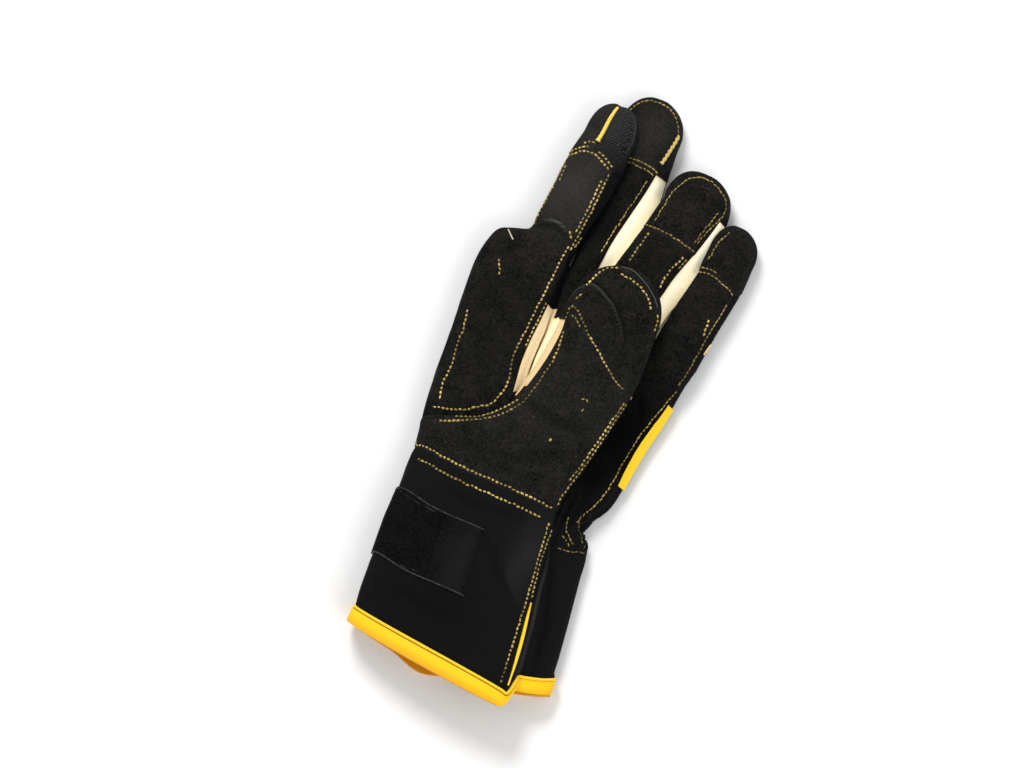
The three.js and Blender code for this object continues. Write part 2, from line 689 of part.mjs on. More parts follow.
function cuffRing(y, hem) {
  const at = (column) => read(CUFF.slice().reverse(), column, y);
  const left = v3(at("left"), y, at("leftZ"));
  const seam = v3(at("seam"), y, at("seamZ"));
  const right = v3(at("right"), y, at("rightZ"));
  const foot = v3(at("seam") + CUFF_STEP.width, y, at("step"));
  const front = bulged(left, seam, roundShares(CUFF_SHARES.front), at("crown"), halfRound);
  const side = [seam, seam.clone().lerp(foot, 0.5), foot];
  for (const s of CUFF_STEP.columns) {
    const p = foot.clone().lerp(right, s);
    p.z -= CUFF_STEP.sag * softArch(s);
    side.push(p);
  }
  const backRight = v3(right.x - CUFF_BACK.right, y, CUFF_BACK.edge);
  const backLeft = v3(left.x + CUFF_BACK.left, y, CUFF_BACK.edge);
  // The tape round the hem lies on the table too, so the cloth in it is raised.
  const lowest = hem ? TAPE_SEAT : 0;
  const back = evenShares(CUFF_SHARES.back).map((s) => {
    const out = Math.max(0, (Math.abs(2 * s - 1) - SHARE_PLATEAU) / (1 - SHARE_PLATEAU));
    return v3(mix(backLeft.x, backRight.x, s), y, mix(lowest, CUFF_BACK.edge, out ** 2));
  });
  const walls = evenShares(WALL_COLUMNS);
  const ring = {
    front,
    side,
    right: bulged(right, backRight, walls, WALL_BULGE.cuffRight, softArch),
    back,
    left: bulged(backLeft, left, walls, WALL_BULGE.cuffLeft, softArch),
  };
  if (hem) shiftHem(ring, hem);
  return ring;
}

// Sets the points of the mouth's ring at the hem, or a tape's width above it.
function shiftHem(ring, above) {
  const set = (row, yAt) => {
    row.forEach((p, i) => (p.y = yAt(i / (row.length - 1)) + above));
  };
  set(ring.front, (s) => mix(HEM.left, HEM.seam, s) - HEM.sag * softArch(s));
  const stepped = (s) => mix(HEM.seam, HEM.foot, smooth(s / CUFF_STEP.columns[0]));
  set(ring.side, (s) => mix(stepped(s), HEM.right, s ** 2));
  set(ring.right, () => HEM.right);
  set(ring.back, (s) => mix(HEM.backLeft, HEM.right, s) - HEM.backSag * softArch(s));
  set(ring.left, (s) => mix(HEM.backLeft, HEM.left, s));
}

const STRAP_ROWS = { top: 59, bottom: 26 };
const CUFF_ROWS = [CREASE_Y, 76, 68, STRAP_ROWS.top, 48, 37, STRAP_ROWS.bottom, 15];
const BINDING_Y = { top: 0, hem: -10 }; // the sections that the tape's two edges take
const HEM_EDGE = 0.01; // how far above the hem's line the last row lies
const bindingTop = cuffRing(BINDING_Y.top, BINDING);
const cuffRings = [
  ...CUFF_ROWS.map((y) => cuffRing(y)),
  bindingTop,
  cuffRing(BINDING_Y.hem, HEM_EDGE),
].reverse();

function cuffShell() {
  const shell = new Shell();
  const label = (cuffPiece, tapePiece) => (_, j) => (j < 1 ? tapePiece : cuffPiece);
  const facing = (name) => cuffRings.map((ring) => ring[name]);
  shell.grid(facing("front"), label("cuff_front", "front_binding"));
  shell.grid(facing("side"), label("cuff_side_gusset", "back_binding"));
  shell.grid(facing("right"), label("cuff_back", "back_binding"));
  shell.grid(facing("back").map((row) => [...row].reverse()), label("cuff_back", "back_binding"));
  shell.grid(facing("left"), label("cuff_back", "back_binding"));
  return shell;
}

// Pieces sewn on top of the cuff and the hand

// The strap runs from the cuff's left edge over the front, and its hook end
// lies beyond it.
const STRAP_COLUMNS = { cuff: 5, end: 7 };

function strapShell() {
  const shell = new Shell();
  const rings = CUFF_ROWS.map((y) => cuffRing(y)).reverse();
  const rows = rings.slice(
    rings.length - 1 - CUFF_ROWS.indexOf(STRAP_ROWS.bottom),
    rings.length - CUFF_ROWS.indexOf(STRAP_ROWS.top),
  );
  shell.grid(
    rows.map((r) => [...r.left.slice(1), ...r.front.slice(1, STRAP_COLUMNS.end + 1)]),
    (i) => (i < STRAP_COLUMNS.cuff + 1 ? "wrist_strap" : "strap_hook_end"),
  );
  return shell;
}

// A yellow tab folded over the ulnar edge of the hand.
const SIDE_TAB_ROWS = [2, 8];
const SIDE_TAB_START = 0.45; // how far across the palm's last facet it starts

function sideTabShell() {
  const shell = new Shell();
  const [from, to] = SIDE_TAB_ROWS;
  const rows = handRows.front.slice(from, to).map((front, j) => {
    const inner = front[COLUMNS - 2].clone().lerp(front[COLUMNS - 1], SIDE_TAB_START);
    return [inner, ...handWalls[from + j].right];
  });
  shell.grid(rows, "side_tab");
  return shell;
}

// Yellow piping stands in the lower part of the cuff's side seam.
function sidePipingShell() {
  const shell = new Shell();
  const rings = [bindingTop, ...CUFF_ROWS.slice(-2).reverse().map((y) => cuffRing(y))];
  shell.grid(rings.map((r) => r.side.slice(0, 3)), "side_piping");
  return shell;
}

// A line of yellow piping runs up the index finger's cap.
const TIP_PIPING = { share: 0.62, width: 2 };

function tipPipingShell() {
  const shell = new Shell();
  const { rings, cap } = fingers[0];
  const rows = rings.slice(cap, -1).map(({ front }) => {
    const centre = front[0].clone().lerp(front[FRONT_COLUMNS], TIP_PIPING.share).x;
    return [-0.5, 0.5].map((side) => onFront(front, centre + side * TIP_PIPING.width));
  });
  shell.grid(rows, "index_tip_piping");
  return shell;
}

// The point of a front's facets that lies at a given x.
function onFront(front, x) {
  const i = front.findIndex((p, n) => n > 0 && p.x >= x);
  const [a, b] = [front[i - 1], front[i]];
  return a.clone().lerp(b, (x - a.x) / (b.x - a.x));
}

// Assembly

const glove = new THREE.Group();
glove.position.set(-CENTRE.x, -CENTRE.y, 0);

function add(name, geometry, look) {
  const mesh = new THREE.Mesh(geometry, new THREE.MeshStandardMaterial(COLOURS[look]));
  mesh.name = name;
  glove.add(mesh);
}

// Every piece with its shell, its look, the offsets of its two faces from the
// shell, and its seam gap where that is wider than the others'.
const PIECES = table("shell name look outer inner gap", [
  ["hand", "index_panel", "suede", 0, -WALL],
  ["hand", "palm_panel", "suede", 0, -WALL],
  ["hand", "back_panel", "canvas", 0, -WALL],
  ["hand", "index_cap", "suede", 0, -WALL],
  ["hand", "middle_cap", "suede", 0, -WALL],
  ["hand", "ring_cap", "suede", 0, -WALL],
  ["hand", "little_cap", "suede", 0, -WALL],
  ["hand", "radial_side_wall", "canvas", 0, -WALL],
  ["hand", "ulnar_side_wall", "canvas", 0, -WALL],
  ["hand", "index_middle_fourchette", "mesh", 0, -LINING, 1.5],
  ["hand", "middle_ring_fourchette", "cream", 0, -LINING, 0.6],
  ["hand", "ring_little_fourchette", "cream", 0, -LINING, 0.6],
  ["hand", "thumb_web", "cream", 0, -WALL],
  ["thumb", "thenar_panel", "suede", 0, -WALL],
  ["thumb", "thumb_cap", "suede", 0, -WALL],
  ["thumb", "thumb_underside", "canvas", 0, -WALL, 0.6],
  ["thumb", "thumb_side_wall", "canvas", 0, -WALL],
  ["thumb", "thumb_fourchette", "cream", 0, -LINING, 0.8],
  ["thumb", "thenar_seam_strip", "canvas", 0, -WALL],
  ["cuff", "cuff_front", "canvas", 0, -WALL],
  ["cuff", "cuff_side_gusset", "canvas", 0, -WALL],
  ["cuff", "cuff_back", "canvas", 0, -WALL],
  ["cuff", "front_binding", "yellow", TAPE, -WALL - TAPE],
  ["cuff", "back_binding", "yellow", TAPE, -WALL - TAPE],
  ["strap", "wrist_strap", "canvas", SEAT + WALL, SEAT],
  ["strap", "strap_hook_end", "canvas", SEAT + WALL / 2, SEAT],
  ["sideTab", "side_tab", "yellow", SEAT + WALL / 2, SEAT],
  ["sidePiping", "side_piping", "yellow", SEAT + WALL, SEAT],
  ["tipPiping", "index_tip_piping", "yellow", SEAT + WALL / 2, SEAT],
]);

const shells = {
  hand: handShell(),
  thumb: thumbShell(),
  cuff: cuffShell(),
  strap: strapShell(),
  sideTab: sideTabShell(),
  sidePiping: sidePipingShell(),
  tipPiping: tipPipingShell(),
};
for (const { shell, name, look, outer, inner, gap } of PIECES)
  add(name, shells[shell].sheet(name, outer, inner, gap), look);

export default glove;
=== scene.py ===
"""Builds the look of a heavy-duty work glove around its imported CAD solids.

The glove's skins are drawn from the same tables of sections as its solids,
subdivided, cut into their pattern pieces, given folds and seams, and stitched.
Sections and sizes are in millimetres, and the finished pieces are in metres.
"""

import copy
import math

import bpy
import numpy as np
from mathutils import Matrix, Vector
from mathutils.bvhtree import BVHTree
from mathutils.kdtree import KDTree


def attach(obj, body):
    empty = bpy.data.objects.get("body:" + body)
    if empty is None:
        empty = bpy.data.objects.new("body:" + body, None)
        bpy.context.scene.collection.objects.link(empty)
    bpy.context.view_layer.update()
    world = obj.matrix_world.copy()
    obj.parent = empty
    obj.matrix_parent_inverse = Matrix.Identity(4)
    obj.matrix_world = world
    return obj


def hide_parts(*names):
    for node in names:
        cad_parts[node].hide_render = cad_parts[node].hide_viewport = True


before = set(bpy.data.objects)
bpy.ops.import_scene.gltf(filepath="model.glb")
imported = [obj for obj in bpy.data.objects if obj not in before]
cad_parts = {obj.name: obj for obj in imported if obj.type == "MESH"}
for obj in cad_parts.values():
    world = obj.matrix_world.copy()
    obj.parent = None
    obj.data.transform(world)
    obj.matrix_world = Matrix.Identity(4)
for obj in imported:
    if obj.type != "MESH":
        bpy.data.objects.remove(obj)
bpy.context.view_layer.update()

bl_info = {
    "name": "Work Glove",
    "version": (1, 0, 0),
    "blender": (4, 5, 0),
    "location": "View3D > Sidebar > Work Glove",
    "description": "Builds a suede and canvas work glove piece by piece",
    "category": "Add Mesh",
}

MM = 0.001
BODY = "root"

# Sections of the glove, as in the part's source

CREASE_Y = 84
CROTCH_Y = 136
CENTRE = np.array([-1.02, 140.97, 0.0])
FRONT_COLUMNS = 6
WALL_COLUMNS = 2
STEP_COLUMNS = 2
THUMB_COLUMNS = 8
TIP_STEPS = [0.25, 0.48, 0.68, 0.84, 0.94, 0.985]
TIP_EDGE = 5.4
TIP_POWER = 2.5
SEAT = 0.35
# Powers and shares of the arches that the sections bulge in
FLAT_POWER = 2.4
PRESSED_SHARE = 0.5


def table(columns, rows):
    """Rows as dictionaries with the named columns."""
    names = columns.split()
    return [dict(zip(names, row)) for row in rows]


SECTION = "y tlx tlz trx trz brx brz blx blz crown sag"
FINGERS = table("name tip cap_wall arch slant rows", [
    ["index", (-32, 288.5, 13.5), 3, 6, 0.5, table(SECTION, [
        [212, -48.5, 13, -23.6, 19, -22.8, 7, -47.5, 3.5, 5.5, 3.5],
        [225, -47.5, 13, -22.6, 21, -20.6, 12, -45.5, 3, 5, 3],
        [240, -47, 13, -22, 22, -18.4, 13.2, -44.5, 3, 5, 3],
        [257.5, -46.5, 13, -22.2, 22.4, -17.2, 13.6, -44, 3.2, 5, 3],
        [270, -44, 13, -23, 22, -17.8, 14, -42, 3.6, 4.5, 3],
    ])],
    ["middle", (-16.4, 300.6, 7.6), 3, 1.5, 0, table(SECTION, [
        [204, -21, 13.5, -7.9, 15.4, -2.6, 4, -22, 4, 3.2, 4],
        [222, -22.6, 6.8, -7.5, 14, 4, 3.2, -22.8, 2.6, 4, 2.7],
        [243, -22.4, 5.6, -4.6, 14, 6.4, 2.6, -22.6, 2.4, 4, 2.6],
        [265, -24, 5.4, -1.9, 13.6, 3.8, 4, -24.2, 2.4, 4.6, 2.6],
        [281, -31, 6, -2.4, 13, 2, 4.2, -30.6, 2.6, 4.8, 2.9],
    ])],
    ["ring", (21.4, 274.8, 8.5), 4, 1, -3, table(SECTION, [
        [198, -3.4, 13, 25.4, 15, 31.5, 4, -1.2, 4, 5, 4],
        [210, -2.2, 13.5, 27.2, 15.5, 35.4, 3.4, 2, 4, 5, 4],
        [223, 0.2, 14, 29.4, 15.5, 38.2, 3.2, 5, 4.4, 5, 4],
        [236, 3, 14, 32.6, 15, 39.8, 3.4, 7.2, 4.6, 5, 4],
        [256, 5.8, 13, 36.8, 13.5, 40, 4.5, 7.8, 4.5, 5, 4],
    ])],
    ["little", (47.6, 257.2, 8.3), 3, 2, -4, table(SECTION, [
        [188, 31.8, 12.5, 55.4, 12, 57.9, 4, 34, 4, 5, 4],
        [201, 33.4, 13, 56.6, 12, 59, 4, 37, 4, 5, 4],
        [214, 35.2, 13, 58, 12, 60.3, 4, 39.4, 4, 5, 4],
        [228, 37.2, 13, 59, 12, 61.5, 4, 40.6, 4, 5, 4],
        [242, 37.8, 12, 59, 11.5, 61.2, 4.5, 39.4, 4.5, 4.5, 4],
    ])],
])
CAP_ROWS = 6
CAP_SEAM = {"level": 0.55, "reach": 22}
PIPING_BLEND = {"from": 2, "rows": 4}
PALM = table("y left leftZ seam seamZ rise foot footZ right rightZ crown", [
    [84, -53.4, 12.5, -22.2, 22, 5, -17.5, 16, 42, 8, 8],
    [92, -55, 12.5, -22.2, 22, 5, -17.5, 16, 44, 8, 8],
    [98, -56, 12.7, -22.2, 22, 5, -17.5, 15.8, 48, 8.2, 7.8],
    [104, -57, 13, -22.2, 22, 5, -17.5, 15.5, 49.8, 8.5, 7.5],
    [122, -59.6, 13.5, -18.4, 21.5, 5, -14.6, 14.6, 51.2, 9, 6],
    [136, -61.2, 13.8, -20.2, 21, 5, -16.4, 13.8, 52.5, 9.5, 4.6],
    [150, -62.4, 14, -22.6, 20.5, 5, -17.5, 13.4, 54.6, 10, 4.2],
    [172, -65, 14, -22.4, 20, 5, -17.5, 13, 56.8, 11, 4.4],
    [188, -66.6, 14, -22.5, 19.5, 5, -18.4, 13.6, 57.6, 11.5, 4.4],
    [199, -65.4, 13.6, -22.6, 19, 5, -19.2, 14, 58.6, 11.8, 4],
    [205, -63.4, 13.2, -22.7, 18.8, 5, -19.4, 14, 59.3, 12, 4],
    [209, -60.6, 13, -22.8, 18.6, 5, -19.5, 14, 59.7, 12, 4],
    [212, -48.5, 13, -22.8, 18.5, 5, -19.6, 14, 60, 12, 4],
])
EDGE_LEAN = {"left": 0.4, "right": 3.4}
BACK_EDGE = {"inset": 0.8, "z": 3.5}
STEP_SAG = 1.2
SHARE_PLATEAU = 0.86
KNUCKLE = {"ulnarY": 185, "lead": 1, "dip": 2.2}
BLEND = {"front": 26, "back": 14, "index": 4}
PANEL_FOOT = {
    "left": 106.4, "right": 125, "sweep": 6, "lead": 3,
    "leftZ": 13.2, "slope": 0.28, "start": 0.12, "reach": 16,
}
HEEL_ROWS = 8
HAND_ROWS = [
    0.07, 0.14, 0.21, 0.28, 0.355, 0.43, 0.505, 0.58, 0.62, 0.69, 0.76, 0.84, 0.89, 0.94, 0.975,
]
WEB_TOP_ROW = HEEL_ROWS + 10
WEB_LEAF = {"columns": 4, "short": 1}
TUCK = {"columns": 11, "rows": 4, "drop": 3, "reach": 4}
PIPING_COLUMN = 4
PIPING_SHARES = np.array([0, 0.07, 0.2, 0.36, 0.52, 0.82, 1])
THUMB = table("i xl yl zl xr yr zr crown lowL leanL lowR", [
    [0, -53.4, 84, 12.5, 25, 84, 24, 10, 1, 0, 0],
    [1, -54.8, 93, 12.6, 25.6, 91.5, 25, 10.3, 1, 0, 0],
    [2, -55.8, 102.6, 13.6, 27, 99.5, 26, 10.5, 1, 0, 0],
    [3, -42, 108.2, 18.2, 28.5, 107, 27, 10.4, 1.5, 0, 0],
    [4, -31.6, 112.4, 20.8, 30, 115, 28, 10, 3.5, 1, 0],
    [5, -22.2, 120.4, 23.2, 31.3, 123.5, 28.5, 9.5, 6, 1.6, 0],
    [6, -16.4, 130.5, 25.4, 32.5, 132, 28.5, 9.2, 7.6, 2.6, 0],
    [7, -13, 143.5, 26.3, 33.6, 139, 28, 9, 7.6, 3.6, 8.5],
    [8, -11.1, 157, 26.5, 34.4, 144, 28, 9, 7.6, 4.2, 8],
    [9, -11, 170, 26.5, 35, 148, 28, 9, 7.3, 3.6, 8],
    [10, -12.4, 180, 26.5, 34.8, 151.5, 27.5, 9, 7, 2.5, 7.5],
    [11, -12.8, 187.5, 26.5, 34.2, 168, 27, 8.5, 6.8, 1.2, 6.8],
    [12, -11.6, 192.5, 26.5, 32.6, 186, 26.5, 8, 6.4, 0.8, 6.4],
])
THUMB_TIP = (11, 212, 24)
THUMB_STEP = 0.5
THUMB_CAP_ROW = 20
THUMB_ROOT_ROW = 12
STRIP_START_ROW = 6
UNDERSIDE = {"sag": 0.8, "inset": 0.8}
THUMB_EDGE = 6.5
CUFF = table("y left leftZ seam seamZ step right rightZ crown", [
    [84, -53.4, 12.5, 25, 24, 17.5, 42, 8, 10],
    [76, -52.9, 13, 26.5, 24, 17.5, 46.5, 8.5, 10],
    [62, -51.7, 14, 28.5, 24.5, 17.5, 49, 9, 9.5],
    [44, -50.8, 15, 31.5, 25, 17.5, 52.2, 9.5, 9],
    [24, -48.6, 16, 35.5, 25.5, 18, 55.7, 10, 8.5],
    [8, -46.6, 16.5, 40, 25.5, 18, 58, 10.5, 8],
    [-4, -45.4, 16.5, 43.6, 25.5, 18, 59.8, 10.5, 8],
])[::-1]
HEM_TOP = {"left": 2, "sag": 1.6, "corner": -8.2, "seam": -7.4, "foot": 0.6, "right": 11, "backSag": 8}
HEM_END = {"left": -7, "sag": 3.6, "corner": -14.8, "seam": -12.8, "foot": -6.6, "right": 2, "backSag": 8}
HEM_CURVE = {"step": 0.2, "front": 1.6, "side": 1.3, "left": 2}
HEM_DROOP = {"drop": 3.6, "share": 0.385, "reach": 0.09}
TAPE_SEAT = 0.65
CUFF_SHARES = {"front": 12, "back": 12}
CUFF_STEP = {"width": 1.8, "columns": [0.4, 0.75, 1], "sag": -1.2}
CUFF_BACK = {"left": 1.2, "right": 0.6, "edge": 3.5}
CUFF_ROWS = [84, 80, 76, 72, 68, 64.5, 61, 55, 49, 43, 37, 31.5, 26, 20.5, 15]
BINDING_ROWS = 3
CORNER_COLUMNS = 2
STRAP_ROWS = {"top": 61, "bottom": 26}
STRAP_TILT = {"rise": 3.6, "reach": 24, "from": -50, "top": 78, "fade": 14, "bottom": 12, "start": 12}
WRIST_TILT = {"rise": 3, "reach": 14, "from": -22, "blend": 30}
STRAP_COLUMNS = {"cuff": 5, "end": 7}
SIDE_TAB_ROWS = [4, 14]
WALL_BULGE = {"finger": 0.6, "thumb": 0.4, "cuffRight": 0.6, "cuffLeft": 0.8}

# Looks of the pieces: material, how far the piece lies above the skin, wall
# thickness, how high its soft undulations are, and the record's material slot

LOOKS = table("pieces look lift wall waves slot", [
    ["index_panel", "suede", 0.35, 1.5, 0.34, "palm_suede"],
    ["palm_panel", "suede", 0.1, 1.5, 0.34, "palm_suede"],
    ["thenar_panel", "suede", 0.3, 1.5, 0.34, "palm_suede"],
    ["heel_tuck", "suede", 0.1, 1.5, 0.1, "palm_suede"],
    ["index_cap", "suede", 0.5, 1.5, 0.22, "palm_suede"],
    ["middle_cap ring_cap little_cap", "suede", 0.45, 1.5, 0.22, "palm_suede"],
    ["thumb_cap", "suede", 0.6, 1.5, 0.26, "palm_suede"],
    ["index_cap_side", "mesh", 0.3, 1.5, 0.16, "mesh_cloth"],
    ["index_middle_fourchette", "canvas", -0.1, 1.2, 0.2, "mesh_cloth"],
    ["middle_ring_fourchette ring_little_fourchette", "cream", -0.1, 1.2, 0.25, "cream_cloth"],
    ["thumb_web", "pale_peach", -0.2, 1.2, 0.25, "cream_cloth"],
    ["thumb_fourchette", "peach", -0.2, 1.2, 0.25, "cream_cloth"],
    ["back_panel", "canvas", 0, 1.4, 0.16, "canvas"],
    ["radial_side_wall ulnar_side_wall thumb_side_wall", "canvas", 0, 1.4, 0.2, "canvas"],
    ["thumb_underside", "canvas", 0, 1.2, 0.1, "canvas"],
    ["thenar_seam_strip", "canvas", -0.1, 1.2, 0.15, "canvas"],
    ["cuff_front cuff_side_gusset", "canvas", 0, 1.5, 0.3, "canvas"],
    ["cuff_back", "canvas", 0, 1.5, 0.16, "canvas"],
    ["front_binding", "tape", 0.75, 3, 0.12, "binding_tape"],
    ["back_binding", "tape", 0.62, 2.8, 0.08, "binding_tape"],
    ["wrist_strap", "webbing", 0.95, 0.8, 0.1, "strap_webbing"],
    ["strap_hook_end", "webbing", 0.85, 0.7, 0.1, "strap_webbing"],
    ["side_tab", "trim", 1.0, 0.75, 0.06, "yellow_trim"],
])
LOOK = {piece: row for row in LOOKS for piece in row["pieces"].split()}


# Curves and sections


def mix(a, b, t):
    return a + (b - a) * t


def smooth(t):
    c = np.clip(t, 0, 1)
    return c * c * (3 - 2 * c)


def bell(distance, width):
    """1 at no distance, falling to nothing a few widths away."""
    return np.exp(-((distance / width) ** 2))


def read(rows, column, at, station="y"):
    """One column of a table at a station between its rows, on a smooth curve."""
    n = len(rows)
    if at <= rows[0][station]:
        return rows[0][column]
    if at >= rows[-1][station]:
        return rows[-1][column]
    i = 0
    while rows[i + 1][station] < at:
        i += 1

    def slope(a, b):
        return (rows[b][column] - rows[a][column]) / (rows[b][station] - rows[a][station])

    here = slope(i, i + 1)
    before = (slope(i - 1, i) + here) / 2 if i > 0 else here
    after = (slope(i + 1, i + 2) + here) / 2 if i + 2 < n else here
    span = rows[i + 1][station] - rows[i][station]
    t = (at - rows[i][station]) / span
    return (
        (1 + 2 * t) * (1 - t) ** 2 * rows[i][column]
        + t * (1 - t) ** 2 * span * before
        + t * t * (3 - 2 * t) * rows[i + 1][column]
        + t * t * (t - 1) * span * after
    )


def round_shares(count):
    return (1 - np.cos(np.pi * np.arange(count + 1) / count)) / 2


def even_shares(count):
    return np.arange(count + 1) / count


def half_round(s):
    return np.sqrt(np.maximum(0, 1 - (2 * s - 1) ** 2))


def soft_arch(s):
    return 4 * s * (1 - s)


def flat_arch(s):
    return np.sqrt(np.maximum(0, 1 - np.abs(2 * s - 1) ** FLAT_POWER))


def pressed_flat(s):
    return 1 - np.maximum(0, (np.abs(2 * s - 1) - PRESSED_SHARE) / (1 - PRESSED_SHARE)) ** 2


def bulged(a, b, shares, bulge, profile):
    """Points from a to b that bulge to the left of the way, in the XZ plane."""
    across = np.array([-(b[2] - a[2]), 0, b[0] - a[0]])
    across /= max(np.linalg.norm(across), 1e-9)
    s = np.asarray(shares)[:, None]
    return a + (b - a) * s + across * (bulge * profile(s))


def walls_of(front, back):
    shares = even_shares(WALL_COLUMNS)
    return {
        "right": bulged(front[-1], back[-1], shares, WALL_BULGE["finger"], soft_arch),
        "left": bulged(back[0], front[0], shares, WALL_BULGE["finger"], soft_arch),
    }


def v3(x, y, z):
    return np.array([x, y, z], float)


# Fingers and hand


def finger_ring(section, y, base_y=None):
    """A finger's points at one row: front, right wall, back and left wall."""
    s = section
    shares = round_shares(FRONT_COLUMNS)
    tops = mix(shares, PIPING_SHARES, s.get("piping", 0))
    front = bulged(v3(s["tlx"], y, s["tlz"]), v3(s["trx"], y, s["trz"]), tops, s["crown"], half_round)
    back = bulged(v3(s["blx"], y, s["blz"]), v3(s["brx"], y, s["brz"]), shares, -s["sag"], pressed_flat)
    if base_y is not None:
        front[:, 1] = back[:, 1] = base_y(shares)
    return {"front": front, "back": back, **walls_of(front, back)}


def finger_rings(finger, base_y):
    rows = finger["rows"]
    stations = [rows[0]["y"]]
    for a, b in zip(rows, rows[1:]):
        stations += [(a["y"] + b["y"]) / 2, b["y"]]
    rings = []
    for j, y in enumerate(stations):
        section = {name: read(rows, name, y) for name in SECTION.split()[1:]}
        if finger["name"] == "index":
            section["piping"] = float(smooth((j - PIPING_BLEND["from"]) / PIPING_BLEND["rows"]))
        rings.append(finger_ring(section, y, base_y if j == 0 else None))
    last, (tx, ty, tz) = rows[-1], finger["tip"]
    for share in TIP_STEPS:
        c = (1 - share**TIP_POWER) ** (1 / TIP_POWER)
        section = {"crown": last["crown"] * c, "sag": last["sag"] * c}
        if finger["name"] == "index":
            section["piping"] = 1
        for side in ["tl", "tr", "bl", "br"]:
            level = tz + TIP_EDGE / 2 * (1 if side[0] == "t" else -1)
            section[side + "x"] = mix(tx, last[side + "x"], c)
            section[side + "z"] = mix(level, last[side + "z"], c)
        rings.append(finger_ring(section, mix(last["y"], ty, share)))
    arch_cap_seam(finger, rings)
    return rings


def arch_cap_seam(finger, rings):
    """The seam of a fingertip's cap arches over the finger and slants a little."""
    shares = PIPING_SHARES if finger["name"] == "index" else round_shares(FRONT_COLUMNS)
    rise = finger["arch"] * (soft_arch(shares) - CAP_SEAM["level"]) + finger["slant"] * (shares - 0.5)
    centre = rings[CAP_ROWS]["front"][0][1]
    for ring in rings[2:]:
        near = float(smooth(1 - abs(ring["front"][0][1] - centre) / CAP_SEAM["reach"]))
        ring["front"][:, 1] += rise * near
        walls = walls_of(ring["front"], ring["back"])
        for side, end in (("right", -1), ("left", 0)):
            lift = rise[end] * near
            along = even_shares(WALL_COLUMNS)
            ring[side] = walls[side]
            ring[side][:, 1] = ring["back"][end][1] + lift * (along if side == "left" else along[::-1])


def knuckle_y(i, share):
    next_y = FINGERS[i + 1]["rows"][0]["y"] if i < len(FINGERS) - 1 else KNUCKLE["ulnarY"]
    return mix(FINGERS[i]["rows"][0]["y"], next_y + KNUCKLE["lead"], share * share)


RINGS = [
    finger_rings(finger, lambda share, i=i: knuckle_y(i, share))
    for i, finger in enumerate(FINGERS)
]


def knuckle_row(face):
    row = []
    for i, rings in enumerate(RINGS):
        points = rings[0][face]
        if i > 0:
            for s in even_shares(STEP_COLUMNS)[1:-1]:
                p = mix(row[-1], points[0], s)
                p[1] -= KNUCKLE["dip"]
                row.append(p)
        row.extend(points)
    return np.array(row)


KNUCKLES = {"front": knuckle_row("front"), "back": knuckle_row("back")}
COLUMNS = len(KNUCKLES["front"])
FINGER_SPAN = FRONT_COLUMNS + STEP_COLUMNS
PALM_HEEL_COLUMN = COLUMNS - 1 - FINGER_SPAN


def palm_height(x, y):
    """The height of the hand's front beyond the step, at a place on the palm."""
    foot, right = read(PALM, "foot", y), read(PALM, "right", y) - EDGE_LEAN["right"]
    share = float(np.clip((x - foot) / (right - foot), 0, 1))
    edge = mix(read(PALM, "footZ", y), read(PALM, "rightZ", y), share)
    return edge + read(PALM, "crown", y) * float(flat_arch(share))


def column_share(face, column, first, last):
    start, end = KNUCKLES[face][first][0], KNUCKLES[face][last][0]
    return (KNUCKLES[face][column][0] - start) / (end - start)


def blend_at(face, column, y):
    reach = BLEND["index"] if column <= FRONT_COLUMNS else BLEND[face]
    return float(smooth((y - (KNUCKLES[face][column][1] - reach)) / reach))


def seam_y(column):
    foot = PANEL_FOOT
    share = round_shares(FRONT_COLUMNS)[column] if column <= FRONT_COLUMNS else 1
    if column <= FRONT_COLUMNS:
        return mix(foot["left"], foot["right"], share ** foot["sweep"])
    start = foot["right"] + foot["lead"]
    return mix(start, CROTCH_Y, float(smooth((column - FRONT_COLUMNS) / FRONT_COLUMNS)))


def front_point(column, y):
    def at(name):
        return read(PALM, name, y)

    knuckle = KNUCKLES["front"][column]
    left = at("left") + EDGE_LEAN["left"]
    right = at("right") - EDGE_LEAN["right"]
    blend = blend_at("front", column, y)
    if column <= FRONT_COLUMNS:
        share = column_share("front", column, 0, FRONT_COLUMNS)
        x = mix(left, at("seam"), share)
        z = mix(at("leftZ"), at("seamZ"), share) + at("rise") * float(flat_arch(share))
        valley = PANEL_FOOT["leftZ"] + PANEL_FOOT["slope"] * (x - left)
        up = PANEL_FOOT["start"] + (y - seam_y(column)) / PANEL_FOOT["reach"]
        z = mix(valley, z, float(smooth(up)))
        z -= TUCK["drop"] * float(smooth((seam_y(column) - y) / TUCK["reach"]))
    elif column < FINGER_SPAN:
        share = (column - FRONT_COLUMNS) / STEP_COLUMNS
        x = mix(at("seam"), at("foot"), share)
        z = mix(at("seamZ"), at("footZ"), share) - STEP_SAG * soft_arch(share)
    else:
        x = mix(at("foot"), right, column_share("front", column, FINGER_SPAN, COLUMNS - 1))
        z = palm_height(x, y)
    return v3(mix(x, knuckle[0], blend), y, mix(z, knuckle[2], blend))


def back_point(column, y):
    inset = BACK_EDGE["inset"]
    knuckle = KNUCKLES["back"][column]
    left, right = read(PALM, "left", y) + inset, read(PALM, "right", y) - inset
    share = column_share("back", column, 0, COLUMNS - 1)
    out = abs(2 * share - 1)
    rise = BACK_EDGE["z"] * max(0, (out - SHARE_PLATEAU) / (1 - SHARE_PLATEAU)) ** 2
    blend = blend_at("back", column, y)
    return v3(mix(mix(left, right, share), knuckle[0], blend), y, mix(rise, knuckle[2], blend))


